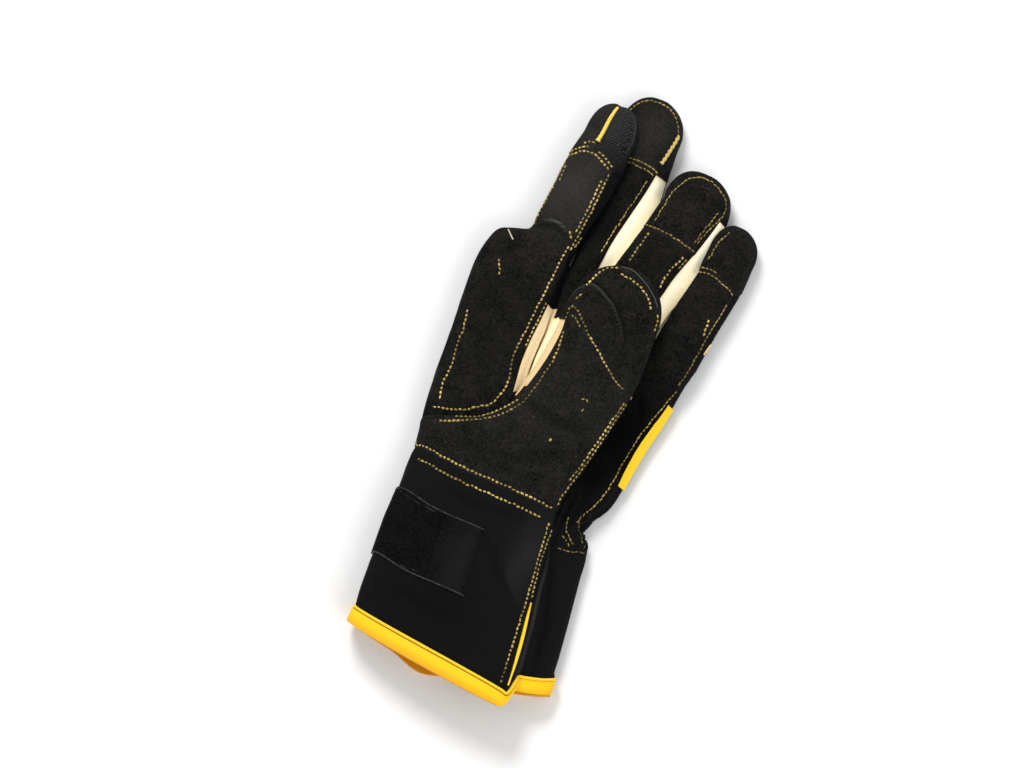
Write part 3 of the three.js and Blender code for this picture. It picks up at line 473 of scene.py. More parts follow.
def palm_row(face, place):
    point_at = front_point if face == "front" else back_point
    row = []
    for column in range(COLUMNS):
        seam, knuckle = seam_y(column), KNUCKLES[face][column][1]
        y = mix(CREASE_Y, seam, place) if place <= 1 else mix(seam, knuckle, place - 1)
        row.append(point_at(column, y))
    return np.array(row)


class Cage:
    """A welded skin of large quads, each with the name of its pattern piece."""

    def __init__(self):
        self.points, self.index = [], {}
        self.quads, self.pieces, self.trims = [], [], []

    def point(self, p):
        key = tuple(np.round(p, 3))
        if key not in self.index:
            self.index[key] = len(self.points)
            self.points.append(p)
        return self.index[key]

    def grid(self, rows, piece_at, trim_at=None):
        """rows[j][i] with i running left to right and j running up, seen from outside."""
        for j in range(len(rows) - 1):
            for i in range(len(rows[j]) - 1):
                piece = piece_at if isinstance(piece_at, str) else piece_at(i, j)
                if not piece:
                    continue
                ring = [
                    self.point(p)
                    for p in (rows[j][i], rows[j][i + 1], rows[j + 1][i + 1], rows[j + 1][i])
                ]
                corners = [v for k, v in enumerate(ring) if v != ring[k - 1]]
                if len(corners) < 3:
                    continue
                self.quads.append(corners)
                self.pieces.append(piece)
                self.trims.append(trim_at(i, j) if trim_at else "")


BETWEENS = ["index_middle_fourchette", "middle_ring_fourchette", "ring_little_fourchette"]


def hand_cage():
    places = [*even_shares(HEEL_ROWS), *[1 + share for share in HAND_ROWS]]
    fronts = [palm_row("front", place) for place in places] + [KNUCKLES["front"]]
    backs = [palm_row("back", place) for place in places] + [KNUCKLES["back"]]
    walls = [walls_of(front, back) for front, back in zip(fronts, backs)]
    cage = Cage()

    def front_piece(i, j):
        if j < HEEL_ROWS:
            if i >= PALM_HEEL_COLUMN:
                return "palm_panel"
            return "heel_tuck" if i < TUCK["columns"] and j >= HEEL_ROWS - TUCK["rows"] else None
        if i < FRONT_COLUMNS:
            return "index_panel"
        if j == HEEL_ROWS and i < FINGER_SPAN + WEB_LEAF["columns"]:
            return "heel_tuck"
        if i < FINGER_SPAN:
            return "thumb_web" if j < WEB_TOP_ROW else BETWEENS[0]
        if i < FINGER_SPAN + WEB_LEAF["columns"] and j < WEB_TOP_ROW - WEB_LEAF["short"]:
            return "thumb_web"
        return "palm_panel"

    def tab(j):
        return "side_tab" if SIDE_TAB_ROWS[0] <= j < SIDE_TAB_ROWS[1] else ""

    cage.grid(fronts, front_piece, lambda i, j: tab(j) if i == COLUMNS - 2 else "")
    cage.grid([row[::-1] for row in backs], "back_panel")
    cage.grid([w["left"] for w in walls], "radial_side_wall")
    cage.grid([w["right"] for w in walls], "ulnar_side_wall", lambda _, j: tab(j))
    for i, (finger, rings) in enumerate(zip(FINGERS, RINGS)):
        cap_wall = 2 * finger["cap_wall"]
        tip = finger["name"] + "_cap"
        left = "radial_side_wall" if i == 0 else BETWEENS[i - 1]
        right = "ulnar_side_wall" if i == len(RINGS) - 1 else BETWEENS[i]
        panel = "index_panel" if i == 0 else "palm_panel"
        side = "index_cap_side" if i == 0 else tip

        def front_label(column, j, panel=panel, tip=tip, side=side):
            if j < CAP_ROWS:
                return panel
            return side if column >= PIPING_COLUMN else tip

        cage.grid([r["front"] for r in rings], front_label)
        cage.grid([r["back"][::-1] for r in rings], "back_panel")
        cage.grid([r["right"] for r in rings], lambda _, j: right if j < cap_wall else side)
        cage.grid([r["left"] for r in rings], lambda _, j: left if j < cap_wall else tip)
        close_tip(cage, rings[-1], "back", tip, side)
    close_crotches(cage)
    return cage


def closing_rows(low, high, left, right):
    """Rows from one line up to another, ending on two walls, seen from outside."""
    rows = []
    for k, s in enumerate(even_shares(WALL_COLUMNS)):
        row = mix(low, high, s)
        row[0], row[-1] = left[k], right[k]
        rows.append(row[::-1])
    return rows


def close_tip(cage, ring, face, piece, side=None):
    """The strip round the end of a tip, between its front and its other face."""
    turn = len(ring["front"]) - 1 - PIPING_COLUMN
    rows = closing_rows(ring[face], ring["front"], ring["left"], ring["right"][::-1])
    cage.grid(rows, lambda i, _: side if side and i < turn else piece)


def close_crotches(cage):
    """The strips at the bottom of the valleys between the fingers."""
    for i, piece in enumerate(BETWEENS):
        start = i * FINGER_SPAN + FRONT_COLUMNS
        low, high = (KNUCKLES[face][start:start + STEP_COLUMNS + 1] for face in ("back", "front"))
        cage.grid(closing_rows(low, high, RINGS[i][0]["right"][::-1], RINGS[i + 1][0]["left"]), piece)


# Thumb


def thumb_ring(row, sewn):
    left, right = v3(row["xl"], row["yl"], row["zl"]), v3(row["xr"], row["yr"], row["zr"])
    low_left = v3(row["xl"] - row["leanL"], row["yl"], row["zl"] - row["lowL"])
    low_right = v3(row["xr"] - UNDERSIDE["inset"], row["yr"], row["zr"] - row["lowR"])
    if sewn:
        low_right[2] = palm_height(low_right[0], low_right[1]) + SEAT
    shares = {"front": round_shares(THUMB_COLUMNS), "under": even_shares(THUMB_COLUMNS)}
    front = bulged(left, right, shares["front"], row["crown"], half_round)
    under = bulged(low_left, low_right, shares["under"], -UNDERSIDE["sag"], soft_arch)
    front[:, 1] = mix(row["yl"], row["yr"], shares["front"])
    under[:, 1] = mix(row["yl"], row["yr"], shares["under"])
    for p in under[1:-1]:
        p[2] = max(p[2], palm_height(p[0], p[1]) + 2 * SEAT)
    walls = even_shares(WALL_COLUMNS)
    return {
        "front": front,
        "under": under,
        "right": bulged(right, low_right, walls, WALL_BULGE["thumb"], soft_arch),
        "left": bulged(low_left, left, walls, WALL_BULGE["thumb"], soft_arch),
    }


def thumb_cage():
    names = [name for name in THUMB[0] if name != "i"]
    rings = []
    for j in range(2 * len(THUMB) - 1):
        row = {name: read(THUMB, name, j * THUMB_STEP, "i") for name in names}
        if j > THUMB_ROOT_ROW:
            row["lowR"] = max(row["lowR"], THUMB_EDGE)
        rings.append(thumb_ring(row, j <= THUMB_ROOT_ROW))
    last, (tx, ty, tz) = THUMB[-1], THUMB_TIP
    for share in TIP_STEPS:
        c = math.sqrt(1 - share * share)
        row = {"crown": last["crown"] * c, "leanL": last["leanL"] * c}
        for side in "lr":
            low = "low" + side.upper()
            row["x" + side] = mix(tx, last["x" + side], c)
            row["y" + side] = mix(last["y" + side], ty, share)
            row["z" + side] = mix(tz + TIP_EDGE / 2, last["z" + side], c)
            row[low] = mix(TIP_EDGE, last[low], c)
        rings.append(thumb_ring(row, False))
    cage = Cage()

    def before_cap(piece):
        return lambda _, j: piece if j < THUMB_CAP_ROW else "thumb_cap"

    def left_piece(i, j):
        if j < STRIP_START_ROW:
            return None
        if j < THUMB_ROOT_ROW or (j == THUMB_ROOT_ROW and i >= WALL_COLUMNS // 2):
            return "thenar_seam_strip"
        return "thumb_fourchette" if j < THUMB_CAP_ROW - 1 else "thumb_cap"

    cage.grid([r["front"] for r in rings], before_cap("thenar_panel"))
    cage.grid([r["under"][::-1] for r in rings[THUMB_ROOT_ROW:]], "thumb_underside")
    cage.grid([r["right"] for r in rings], before_cap("thumb_side_wall"))
    cage.grid([r["left"] for r in rings], left_piece)
    close_tip(cage, rings[-1], "under", "thumb_cap")
    return cage


# Cuff


def cuff_ring(y, hem=None):
    """The cuff's ring at a row, or moved to the lines of the hem."""

    def at(name):
        return read(CUFF, name, y)

    left, seam = v3(at("left"), y, at("leftZ")), v3(at("seam"), y, at("seamZ"))
    right = v3(at("right"), y, at("rightZ"))
    foot = v3(at("seam") + CUFF_STEP["width"], y, at("step"))
    front = bulged(left, seam, round_shares(CUFF_SHARES["front"]), at("crown"), half_round)
    side = [seam, mix(seam, foot, 0.5), foot]
    for s in CUFF_STEP["columns"]:
        side.append(mix(foot, right, s) - v3(0, 0, CUFF_STEP["sag"] * soft_arch(s)))
    back_right = v3(right[0] - CUFF_BACK["right"], y, CUFF_BACK["edge"])
    back_left = v3(left[0] + CUFF_BACK["left"], y, CUFF_BACK["edge"])
    shares = even_shares(CUFF_SHARES["back"])
    out = np.maximum(0, (np.abs(2 * shares - 1) - SHARE_PLATEAU) / (1 - SHARE_PLATEAU))
    back = back_left + (back_right - back_left) * shares[:, None]
    back[:, 2] = mix(TAPE_SEAT if hem else 0, CUFF_BACK["edge"], out ** 2)
    walls = even_shares(WALL_COLUMNS)
    ring = {
        "front": front,
        "side": np.array(side),
        "right": bulged(right, back_right, walls, WALL_BULGE["cuffRight"], soft_arch),
        "back": back,
        "left": bulged(back_left, left, walls, WALL_BULGE["cuffLeft"], soft_arch),
    }
    if hem:
        shift_hem(ring, hem)
    else:
        tilt_strap_rows(ring, y)
    return ring


def shift_hem(ring, hem):
    """The mouth's edge: lower under the front, higher at the side, rounded at the corner."""

    back_left = hem["left"] + HEM_CURVE["left"]

    def stepped(s):
        return mix(hem["seam"], hem["foot"], smooth(s / HEM_CURVE["step"]))

    lines = {
        "front": lambda s: (
            mix(hem["left"], hem["corner"], s) - hem["sag"] * soft_arch(s ** HEM_CURVE["front"])
        ),
        "side": lambda s: mix(stepped(s), hem["right"], s ** HEM_CURVE["side"]),
        "right": lambda s: hem["right"] + 0 * s,
        "back": lambda s: (
            mix(back_left, hem["right"], s) - hem["backSag"] * soft_arch(s)
            - HEM_DROOP["drop"] * bell(s - HEM_DROOP["share"], HEM_DROOP["reach"])
        ),
        "left": lambda s: mix(back_left, hem["left"], s),
    }
    for name, line in lines.items():
        ring[name][:, 1] = line(even_shares(len(ring[name]) - 1))
    ring["front"][-1, 1] = hem["seam"]


def tilt_strap_rows(ring, y):
    """The rows under the strap rise towards the thumb's side, where the strap comes round."""
    t = STRAP_TILT
    near = float(smooth((t["top"] - y) / t["fade"]) * smooth((y - t["bottom"]) / t["start"]))
    for points in ring.values():
        points[:, 1] += t["rise"] * near * (1 - smooth((points[:, 0] - t["from"]) / t["reach"]))


def cuff_cage():
    rings = [cuff_ring(y) for y in CUFF_ROWS]
    top, hem = cuff_ring(0, HEM_TOP), cuff_ring(-10, HEM_END)
    low = cuff_ring(CUFF_ROWS[-1])
    between = {name: mix(low[name], top[name], 0.5) for name in top}
    rings.append(between)
    for k in range(BINDING_ROWS + 1):
        rings.append({name: mix(top[name], hem[name], k / BINDING_ROWS) for name in top})
    rings.reverse()
    cage = Cage()
    strap_from = len(rings) - 1 - CUFF_ROWS.index(STRAP_ROWS["bottom"])
    strap_to = len(rings) - 1 - CUFF_ROWS.index(STRAP_ROWS["top"])

    def label(cuff_piece, tape_piece):
        return lambda _, j: tape_piece if j < BINDING_ROWS else cuff_piece

    def on_front(i, j):
        if not strap_from <= j < strap_to or i >= STRAP_COLUMNS["end"]:
            return ""
        return "wrist_strap" if i < STRAP_COLUMNS["cuff"] else "strap_hook_end"

    cage.grid([r["front"] for r in rings], label("cuff_front", "front_binding"), on_front)

    def on_side(i, j):
        if j >= BINDING_ROWS:
            return "cuff_side_gusset"
        return "front_binding" if i < CORNER_COLUMNS else "back_binding"

    cage.grid([r["side"] for r in rings], on_side)
    behind = label("cuff_back", "back_binding")
    cage.grid([r["right"] for r in rings], behind)
    cage.grid([r["back"][::-1] for r in rings], behind)

    def on_left(i, j):
        return "wrist_strap" if i > 0 and strap_from <= j < strap_to else ""

    cage.grid([r["left"] for r in rings], behind, on_left)
    return cage


# Smooth skins


# Rounds of moving the cage so that its skin meets the cage's points, and the share
# of what is missing that each round adds
FIT = {"rounds": 3, "share": 0.85}
FAR_AWAY = 99.0
# Numbers that scramble the places of the cells
HASH = (73856093, 19349663, 83492791, 40503, 1274126177)


def noise(points, size, seed=0):
    """Smooth noise from -1 to 1 over points, with bumps of about that size."""
    p = np.asarray(points) / size + 1000
    cell = np.floor(p).astype(np.int64)
    f = p - cell
    u = f * f * (3 - 2 * f)
    total = np.zeros(len(p))
    for corner in range(8):
        step = np.array([corner & 1, corner >> 1 & 1, corner >> 2 & 1])
        c = cell + step
        h = c[:, 0] * HASH[0] ^ c[:, 1] * HASH[1] ^ c[:, 2] * HASH[2] ^ (seed + 1) * HASH[3]
        h = (h ^ (h >> 13)) * HASH[4] & 0xFFFFFFFF
        h = h ^ (h >> 16)
        weight = np.prod(np.where(step, u, 1 - u), axis=1)
        total += weight * ((h & 0xFFFF) / 32767.5 - 1)
    return total


def edges_of(quads):
    """Every side of every quad, and the quad it belongs to."""
    ends = np.stack([quads, np.roll(quads, -1, axis=1)], axis=2).reshape(-1, 2)
    return ends, np.repeat(np.arange(len(quads)), quads.shape[1])


def vertex_normals(points, quads):
    a, b, c, d = (points[quads[:, k]] for k in range(4))
    face = np.cross(c - a, d - b)
    normals = np.zeros_like(points)
    for k in range(4):
        np.add.at(normals, quads[:, k], face)
    length = np.linalg.norm(normals, axis=1, keepdims=True)
    return normals / np.maximum(length, 1e-9)


def nearest_tree(points):
    """A tree that finds the nearest of some points."""
    tree = KDTree(len(points))
    for n, p in enumerate(points):
        tree.insert(p, n)
    tree.balance()
    return tree


def distances(points, lines, spacing=0.35, limit=None):
    """Distance of every point to the nearest of many short lines."""
    a, b = lines[:, 0], lines[:, 1]
    counts = np.maximum(1, np.ceil(np.linalg.norm(b - a, axis=1) / spacing)).astype(int)
    owner = np.repeat(np.arange(len(a)), counts)
    first = np.repeat(np.cumsum(counts) - counts, counts)
    t = ((np.arange(len(owner)) - first) / counts[owner])[:, None]
    samples = np.vstack([a[owner] * (1 - t) + b[owner] * t, b])
    tree = nearest_tree(samples)
    found = np.full(len(points), FAR_AWAY)
    near = range(len(points))
    if limit is not None:
        low, high = samples.min(0) - limit, samples.max(0) + limit
        near = np.where(np.all((points > low) & (points < high), axis=1))[0]
    for n in near:
        found[n] = tree.find(points[n])[2]
    return found


class Skin:
    """A cage subdivided into a smooth skin that passes close to the cage's points."""

    def __init__(self, cage, level):
        names = sorted(set(cage.pieces))
        trims = sorted(set(cage.trims) | {""})
        target = np.array(cage.points)
        near = bell(target[:, 1] - CREASE_Y, WRIST_TILT["reach"])
        aside = (WRIST_TILT["from"] - target[:, 0]) / WRIST_TILT["blend"]
        target[:, 1] += WRIST_TILT["rise"] * near * smooth(aside)
        mesh = bpy.data.meshes.new("cage")
        mesh.from_pydata(target.tolist(), [], cage.quads)
        piece = mesh.attributes.new("piece", "INT", "FACE")
        piece.data.foreach_set("value", [names.index(n) for n in cage.pieces])
        trim = mesh.attributes.new("trim", "INT", "FACE")
        trim.data.foreach_set("value", [trims.index(n) for n in cage.trims])
        holder = bpy.data.objects.new("cage", mesh)
        bpy.context.scene.collection.objects.link(holder)
        subdivide = holder.modifiers.new("subdivide", "SUBSURF")
        subdivide.render_levels = subdivide.levels = 1
        shape = target.copy()
        for _ in range(FIT["rounds"]):
            found = self.evaluated(holder)[0][: len(target)]
            shape += FIT["share"] * (target - found)
            mesh.vertices.foreach_set("co", shape.ravel())
            mesh.update()
        subdivide.render_levels = subdivide.levels = level
        self.points, self.quads, self.piece, self.trim = self.evaluated(holder)
        self.names, self.trims = names, trims
        bpy.data.objects.remove(holder)
        bpy.data.meshes.remove(mesh)
        self.normals = vertex_normals(self.points, self.quads)
        self.find_seams()

    def evaluated(self, holder):
        depsgraph = bpy.context.evaluated_depsgraph_get()
        smooth_mesh = holder.evaluated_get(depsgraph).to_mesh()
        points = np.empty(len(smooth_mesh.vertices) * 3)
        smooth_mesh.vertices.foreach_get("co", points)
        loops = np.empty(len(smooth_mesh.loops), np.int64)
        smooth_mesh.loops.foreach_get("vertex_index", loops)
        values = []
        for name in ("piece", "trim"):
            found = np.empty(len(smooth_mesh.polygons), np.int32)
            smooth_mesh.attributes[name].data.foreach_get("value", found)
            values.append(found)
        holder.evaluated_get(depsgraph).to_mesh_clear()
        return points.reshape(-1, 3), loops.reshape(-1, 4), *values

    def find_seams(self):
        """Keeps the seams between pieces, the open edges, and each point's distance to them."""
        ends, owner = edges_of(self.quads)
        key = ends.min(1) * len(self.points) + ends.max(1)
        order = np.argsort(key, kind="stable")
        key, owner, ends = key[order], owner[order], ends[order]
        same = np.append(key[1:] == key[:-1], False)
        single = ~(same | np.roll(same, 1))
        pairs = np.where(same)[0]
        a, b = self.piece[owner[pairs]], self.piece[owner[pairs + 1]]
        pairs, a, b = pairs[a != b], a[a != b], b[a != b]
        self.seams = {("", name): ends[single][self.piece[owner[single]] == n]
                      for n, name in enumerate(self.names)}
        for m, n in sorted({tuple(sorted(pair)) for pair in zip(a.tolist(), b.tolist())}):
            chosen = ((a == m) & (b == n)) | ((a == n) & (b == m))
            self.seams[self.names[m], self.names[n]] = ends[pairs[chosen]]
        lines = np.vstack([ends[single], ends[pairs]])
        self.distance = distances(self.points, self.points[lines])

    def seam_distance(self, piece, beside, used, limit=14):
        """Distance of points to the seams with the pieces beside, or to an open edge."""
        lines = [self.seams[tuple(sorted((piece, name)))] for name in beside.split() or [""]]
        return distances(self.points[used], self.points[np.vstack(lines)], limit=limit)


# Folds, seams and gathers

# Lines over the glove where the leather folds in, or stands up as a thin ridge,
# or as a lip on the left of the line. Their tone paints light and shade: shade and
# dirt into a fold, a highlight and wear on a ridge, a highlight on a lip's rim and
# shade below it
FOLDS = table("piece height width kind line", [
    ["thumb_cap", 1.4, 0.6, "lip", [(21, 170), (19.9, 174.6), (17.9, 178.7), (15, 182.5), (10.8, 187.4),
        (6.6, 190.6), (0.3, 194.4), (-5, 196), (-8.6, 194.6), (-11.7, 190.6), (-13.2, 185)]],
    ["thumb_web", -1.3, 0.5, "fold", [(-19.4, 180), (-18.3, 166), (-17.6, 152), (-16.8, 141)]],
    ["index_panel", 0.25, 0.4, "ridge", [(-43, 218.2), (-37.5, 219.4), (-33.6, 218.8), (-30, 217.2)]],
    ["index_panel", -0.35, 1.2, "fold", [(-44, 214), (-38, 216.4), (-31.9, 215.8), (-28, 214)]],
    ["index_cap_side", 0.25, 0.35, "ridge", [(-27.2, 287.6), (-24.3, 285.6), (-21.4, 281.2), (-20.3, 275.2),
        (-20.2, 268.9), (-19.9, 261.1)]],
    ["index_panel", -0.35, 1.5, "fold", [(-60, 190), (-52, 197), (-46, 206)]],
    ["palm_panel", -0.4, 1.8, "fold", [(0, 200), (10, 201), (24, 197)]],
    ["palm_panel", -0.45, 1.3, "fold", [(38, 158), (42, 150), (43, 140)]],
    ["palm_panel", -0.4, 1.6, "fold", [(38, 192), (48, 190), (57, 186)]],
    ["thenar_panel", -0.3, 2.2, "fold", [(-40, 96), (-18, 97), (6, 103), (22, 114)]],
    ["thenar_panel", -0.22, 1.8, "fold", [(-24, 91), (0, 93), (18, 97)]],
    ["thenar_panel", -0.25, 2.2, "fold", [(-6, 128), (8, 124), (22, 126)]],
    # On the cuff's side, a ridge painted lighter as the highlight on the fold's edge, and a fold painted
    # darker as the shadow beside the front's edge
    ["cuff_side_gusset", 0.5, 0.8, "ridge", [(29.5, 70), (32.5, 58.4), (35.7, 39.8), (38.2, 28.3),
        (40.2, 17.9), (41.8, 7.3), (43, 0)]],
    ["cuff_side_gusset", -0.75, 2.6, "fold", [(31, 70), (33.8, 63), (38.6, 49), (43.4, 35), (46.4, 23),
        (48.4, 12), (49.6, 2)]],
    ["strap_hook_end", -0.5, 3.5, "fold", [(-3.1, 70), (-1.7, 60), (0.8, 42.5), (3.3, 25), (4.7, 15)]],
    ["cuff_front", -0.4, 2.4, "fold", [(-34, 73), (-12, 70), (12, 74)]],
    ["cuff_front", -0.35, 2.8, "fold", [(-2, 60), (14, 42), (27, 31)]],
    ["cuff_front", -0.3, 2.8, "fold", [(-38, 18), (-20, 15), (2, 12)]],
])
# Patches painted lighter (above 0) or darker (below 0): the patch's middle and
# reach, and how much. Among them are painted shade and light: the thumb's shadow on
# the palm, the shade below the strap and in the cuff's mouth, and a glow on the top
# of the gusset between the ring and little fingers
PATCHES = table("pieces middle reach amount", [
    ["index_panel", (-36, 236), (15, 30), 0.3],
    ["index_cap index_cap_side", (-34, 276), (16, 22), 0.2],
    ["middle_cap", (-14, 282), (16, 18), 0.14],
    # Painted shadow of the thumb over the palm
    ["palm_panel", (36, 130), (34, 46), -1.0],
    ["palm_panel", (-14, 232), (12, 30), -0.6],
    ["palm_panel", (20, 212), (16, 24), -0.4],
    ["index_panel", (-40, 160), (26, 40), -0.3],
    ["thumb_cap", (24, 184), (10, 26), -0.25],
    ["thenar_panel", (0, 132), (40, 34), 0.05],
    ["index_cap_side", (-26, 256), (16, 9), -1.0],
    # Painted shade inside the cuff's mouth
    ["back_binding", (-6, -12), (14, 8), -0.9],
    ["cuff_front", (22, 52), (9, 30), 0.3],
    ["strap_hook_end", (-1, 43), (15, 28), 0.6],
    # Painted shadow below the strap
    ["cuff_front", (-10, 18), (34, 22), -0.4],
    # Painted light: a glow on the shaded top of the gusset
    ["ring_little_fourchette", (36.5, 246), (9, 18), 1.0],
])
# Undulations of a sheet: the bumps' size, their seed and their share
WAVES = [(19, 1, 1), (8, 2, 0.45), (3.4, 3, 0.16)]
PUCKER = {"size": 3.2, "seed": 5, "inset": 3, "width": 3, "height": 0.12}
GROOVE = {"depth": 0.45, "width": 1.0, "puff": 0.45, "reach": 5.0}
ROW_DENT = {"inset": 1.7, "depth": 0.14, "width": 0.8}
WOBBLE = {"size": 7, "seed": 9, "aside": 0.4, "height": 0.3}
# A lip: how fast it falls away inside, its rim painted lighter as a highlight that fades along the line, and
# the strip outside it painted darker as shade
LIP = {
    "fall": 8, "rim": 0.35, "rim_width": 0.45, "fading": 0.4,
    "shade": 0.7, "inset": 1.0, "shade_width": 0.9,
}
ROLL = {"away": 2.1, "width": 1.3, "height": 0.4}
# How much lighter a ridge is painted, as a highlight and wear on its crest
RIDGE_HIGHLIGHT = 1.1
PATCH_NOISE = {"size": 12, "seed": 14, "share": 0.35}
GATHER = {
    "x": 35.0, "y": 83.0, "reach_x": 15.0, "reach_y": 12.0, "pitch": 3.6, "height": 0.8,
    "lean": 0.35, "wander": 1.5, "size": 9, "seed": 4, "above": 3,
}
# The crease along the binding: its inset, depth and width, and the share of the other undulations kept
# (calm). Its tone paints the band above the crease lighter as a highlight (edge), the crease darker as shade
# (tone), and the tape darker from low over fade millimetres below its top, as shade on its lower part
TAPE_CREASE = {
    "inset": 1.5, "depth": 0.6, "width": 0.35, "calm": 0.35, "edge": 0.5, "tone": 0.9, "low": 5, "fade": 6,
}
TAPE_BESIDE = {
    "front_binding": ["cuff_front", "cuff_side_gusset"], "back_binding": ["cuff_side_gusset", "cuff_back"],
}


def line_distance(xy, line):
    """Distance of points to a line over the glove, its side, and how far along it they lie."""
    line = np.array(line, float)
    best, share, side = np.full(len(xy), 1e9), np.zeros(len(xy)), np.zeros(len(xy))
    for k, (a, b) in enumerate(zip(line, line[1:])):
        ab, ap = b - a, xy - a
        t = np.clip((ap @ ab) / (ab @ ab), 0, 1)
        d = np.linalg.norm(ap - t[:, None] * ab, axis=1)
        closer = d < best
        best[closer] = d[closer]
        share[closer] = ((k + t) / (len(line) - 1))[closer]
        side[closer] = np.sign(ab[0] * ap[:, 1] - ab[1] * ap[:, 0])[closer]
    return best, side, share


def relief(skin, used, piece):
    """How far each point stands out, and how much lighter (above 0) or darker (below 0) it is painted, for
    painted highlights and shade and for patches.
    """
    p, d = skin.points[used], skin.distance[used]
    tone = np.zeros(len(p))
    out = -GROOVE["depth"] * bell(d, GROOVE["width"])
    out += GROOVE["puff"] * (1 - bell(d, GROOVE["reach"])) - GROOVE["puff"] / 2
    out -= ROW_DENT["depth"] * bell(d - ROW_DENT["inset"], ROW_DENT["width"])
    pucker = noise(p, PUCKER["size"], PUCKER["seed"]) * bell(d - PUCKER["inset"], PUCKER["width"])
    waves = sum(share * noise(p, size, seed) for size, seed, share in WAVES)
    out += LOOK[piece]["waves"] * waves + PUCKER["height"] * pucker
    for fold in FOLDS:
        if piece == fold["piece"]:
            height, shade = fold_relief(p, fold)
            out += height
            tone += shade
    # Patches painted lighter or darker, among them painted shadow and light
    for patch in PATCHES:
        if piece in patch["pieces"].split():
            away = (p[:, :2] - patch["middle"]) / patch["reach"]
            uneven = 1 + PATCH_NOISE["share"] * noise(p, PATCH_NOISE["size"], PATCH_NOISE["seed"])
            tone += patch["amount"] * np.exp(-np.sum(away**2, axis=1)) * uneven
    g = GATHER
    near = np.exp(-(((p[:, 0] - g["x"]) / g["reach_x"]) ** 4) - ((p[:, 1] - g["y"]) / g["reach_y"]) ** 4)
    across = p[:, 0] + g["lean"] * p[:, 2] + g["wander"] * noise(p, g["size"], g["seed"])
    ribs = np.sin(2 * np.pi * across / g["pitch"])
    out += g["height"] * near * ribs * (p[:, 2] > g["above"]) * (piece != "thenar_panel")
    if piece in TAPE_BESIDE:
        t = TAPE_CREASE
        top = np.min([skin.seam_distance(piece, n, used, 16) for n in TAPE_BESIDE[piece]], axis=0)
        crease = bell(top - t["inset"], t["width"])
        out = t["calm"] * (out + GROOVE["depth"] * bell(d, GROOVE["width"]))
        out -= t["depth"] * crease
        # Painted light and shade on the binding: a highlight above the crease, and shade in the crease and
        # down its lower part
        tone += t["edge"] * (top < t["inset"]) - t["tone"] * crease
        tone -= np.clip((top - t["low"]) / t["fade"], 0, 1)
    return out, tone


def fold_relief(p, fold):
    """The height and the painted tone that one fold, ridge or lip adds to points near it: shade and dirt in
    a fold, a highlight and wear on a ridge, a highlight on a lip's rim and shade below it.
    """
    height, width = fold["height"], fold["width"]
    wobble = noise(p, WOBBLE["size"], WOBBLE["seed"])
    away, side, share = line_distance(p[:, :2] + WOBBLE["aside"] * wobble[:, None], fold["line"])
    fade = np.sin(np.pi * np.clip(share, 0.02, 0.98)) ** 0.5
    near = bell(away, width) * fade
    if fold["kind"] == "lip":
        inside = smooth(0.5 + side * away / (2 * width))
        # Painted highlight along the lip's rim, and painted shade under it, outside the line
        rim = bell(side * away - LIP["rim"], LIP["rim_width"])
        under = bell(side * away + LIP["inset"], LIP["shade_width"])
        tone = (1 - LIP["fading"] * (1 - share)) * fade * rim - LIP["shade"] * fade * under
        return height * fade * inside * np.exp(-away / LIP["fall"]), tone
    if fold["kind"] == "ridge":
        # A ridge is painted lighter, as a highlight and wear on its crest
        return height * near, RIDGE_HIGHLIGHT * near
    rolled = bell(away - ROLL["away"] * width, ROLL["width"] * width)
    out = height * (1 + WOBBLE["height"] * wobble) * near - ROLL["height"] * height * fade * rolled
    # A fold's negative height also paints shade and dirt into its crease
    return out, height * near


# Finished pieces

MATERIALS = {}
SURFACES = {}
SKINS = {}
FINE, PLAIN = 3, 2
COARSE_PIECES = {
    "back_panel", "cuff_back", "thumb_underside", "thumb_side_wall", "radial_side_wall",
    "ulnar_side_wall", "thenar_seam_strip", "index_middle_fourchette", "heel_tuck",
}
# Pieces that the solids don't have as nodes of their own
ADDED_PIECES = {"heel_tuck", "index_cap_side"}
SHARP_EDGE = math.radians(55)
BEVEL_FROM = math.radians(50)
KEPT_LIMIT = 12
# Short lines on the strap beside its long edges, painted lighter as highlights by
# counting as edges
STRAP_HIGHLIGHT_LINES = [
    [(-51.8, 64.1), (-45, 61.4), (-38.3, 60.1), (-32.6, 59.6), (-28, 59.2)],
    [(-32.5, 27.9), (-27.5, 27.8), (-22.8, 28.4)],
]
HIGHLIGHT_LINE_SEAT = 0.25
LONG_EDGE_SLOPE = 1.2
# The side tab slides up by this much, and keeps these shares of its width up its length
TAB_SLIDE = 2.4
TAB_WIDTHS = [(0, 0.45), (0.14, 0.85), (0.4, 1.0), (0.75, 0.85), (1, 0.25)]
TAB_ROUND = 0.35


def place(points):
    return (np.asarray(points) - CENTRE) * MM


def finish_piece(obj, nodes=()):
    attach(obj, BODY)
    if nodes:
        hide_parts(*nodes)
    return obj


def new_object(name, points, faces, material, values):
    """A smooth mesh object with numbers kept on its points for its material."""
    mesh = bpy.data.meshes.new(name)
    mesh.from_pydata(place(points).tolist(), [], faces)
    for key, numbers in values.items():
        kept = mesh.attributes.new(key, "FLOAT", "POINT")
        kept.data.foreach_set("value", np.clip(numbers, -KEPT_LIMIT, KEPT_LIMIT).astype(np.float32))
    mesh.materials.append(material)
    mesh.polygons.foreach_set("use_smooth", [True] * len(mesh.polygons))
    mesh.update()
    obj = bpy.data.objects.new(name, mesh)
    bpy.context.scene.collection.objects.link(obj)
    return obj


def open_edges(quads):
    """The sides of quads that have no other quad beside them."""
    ends, _ = edges_of(quads)
    n = quads.max() + 1
    return ends[~np.isin(ends[:, 0] * n + ends[:, 1], ends[:, 1] * n + ends[:, 0])]


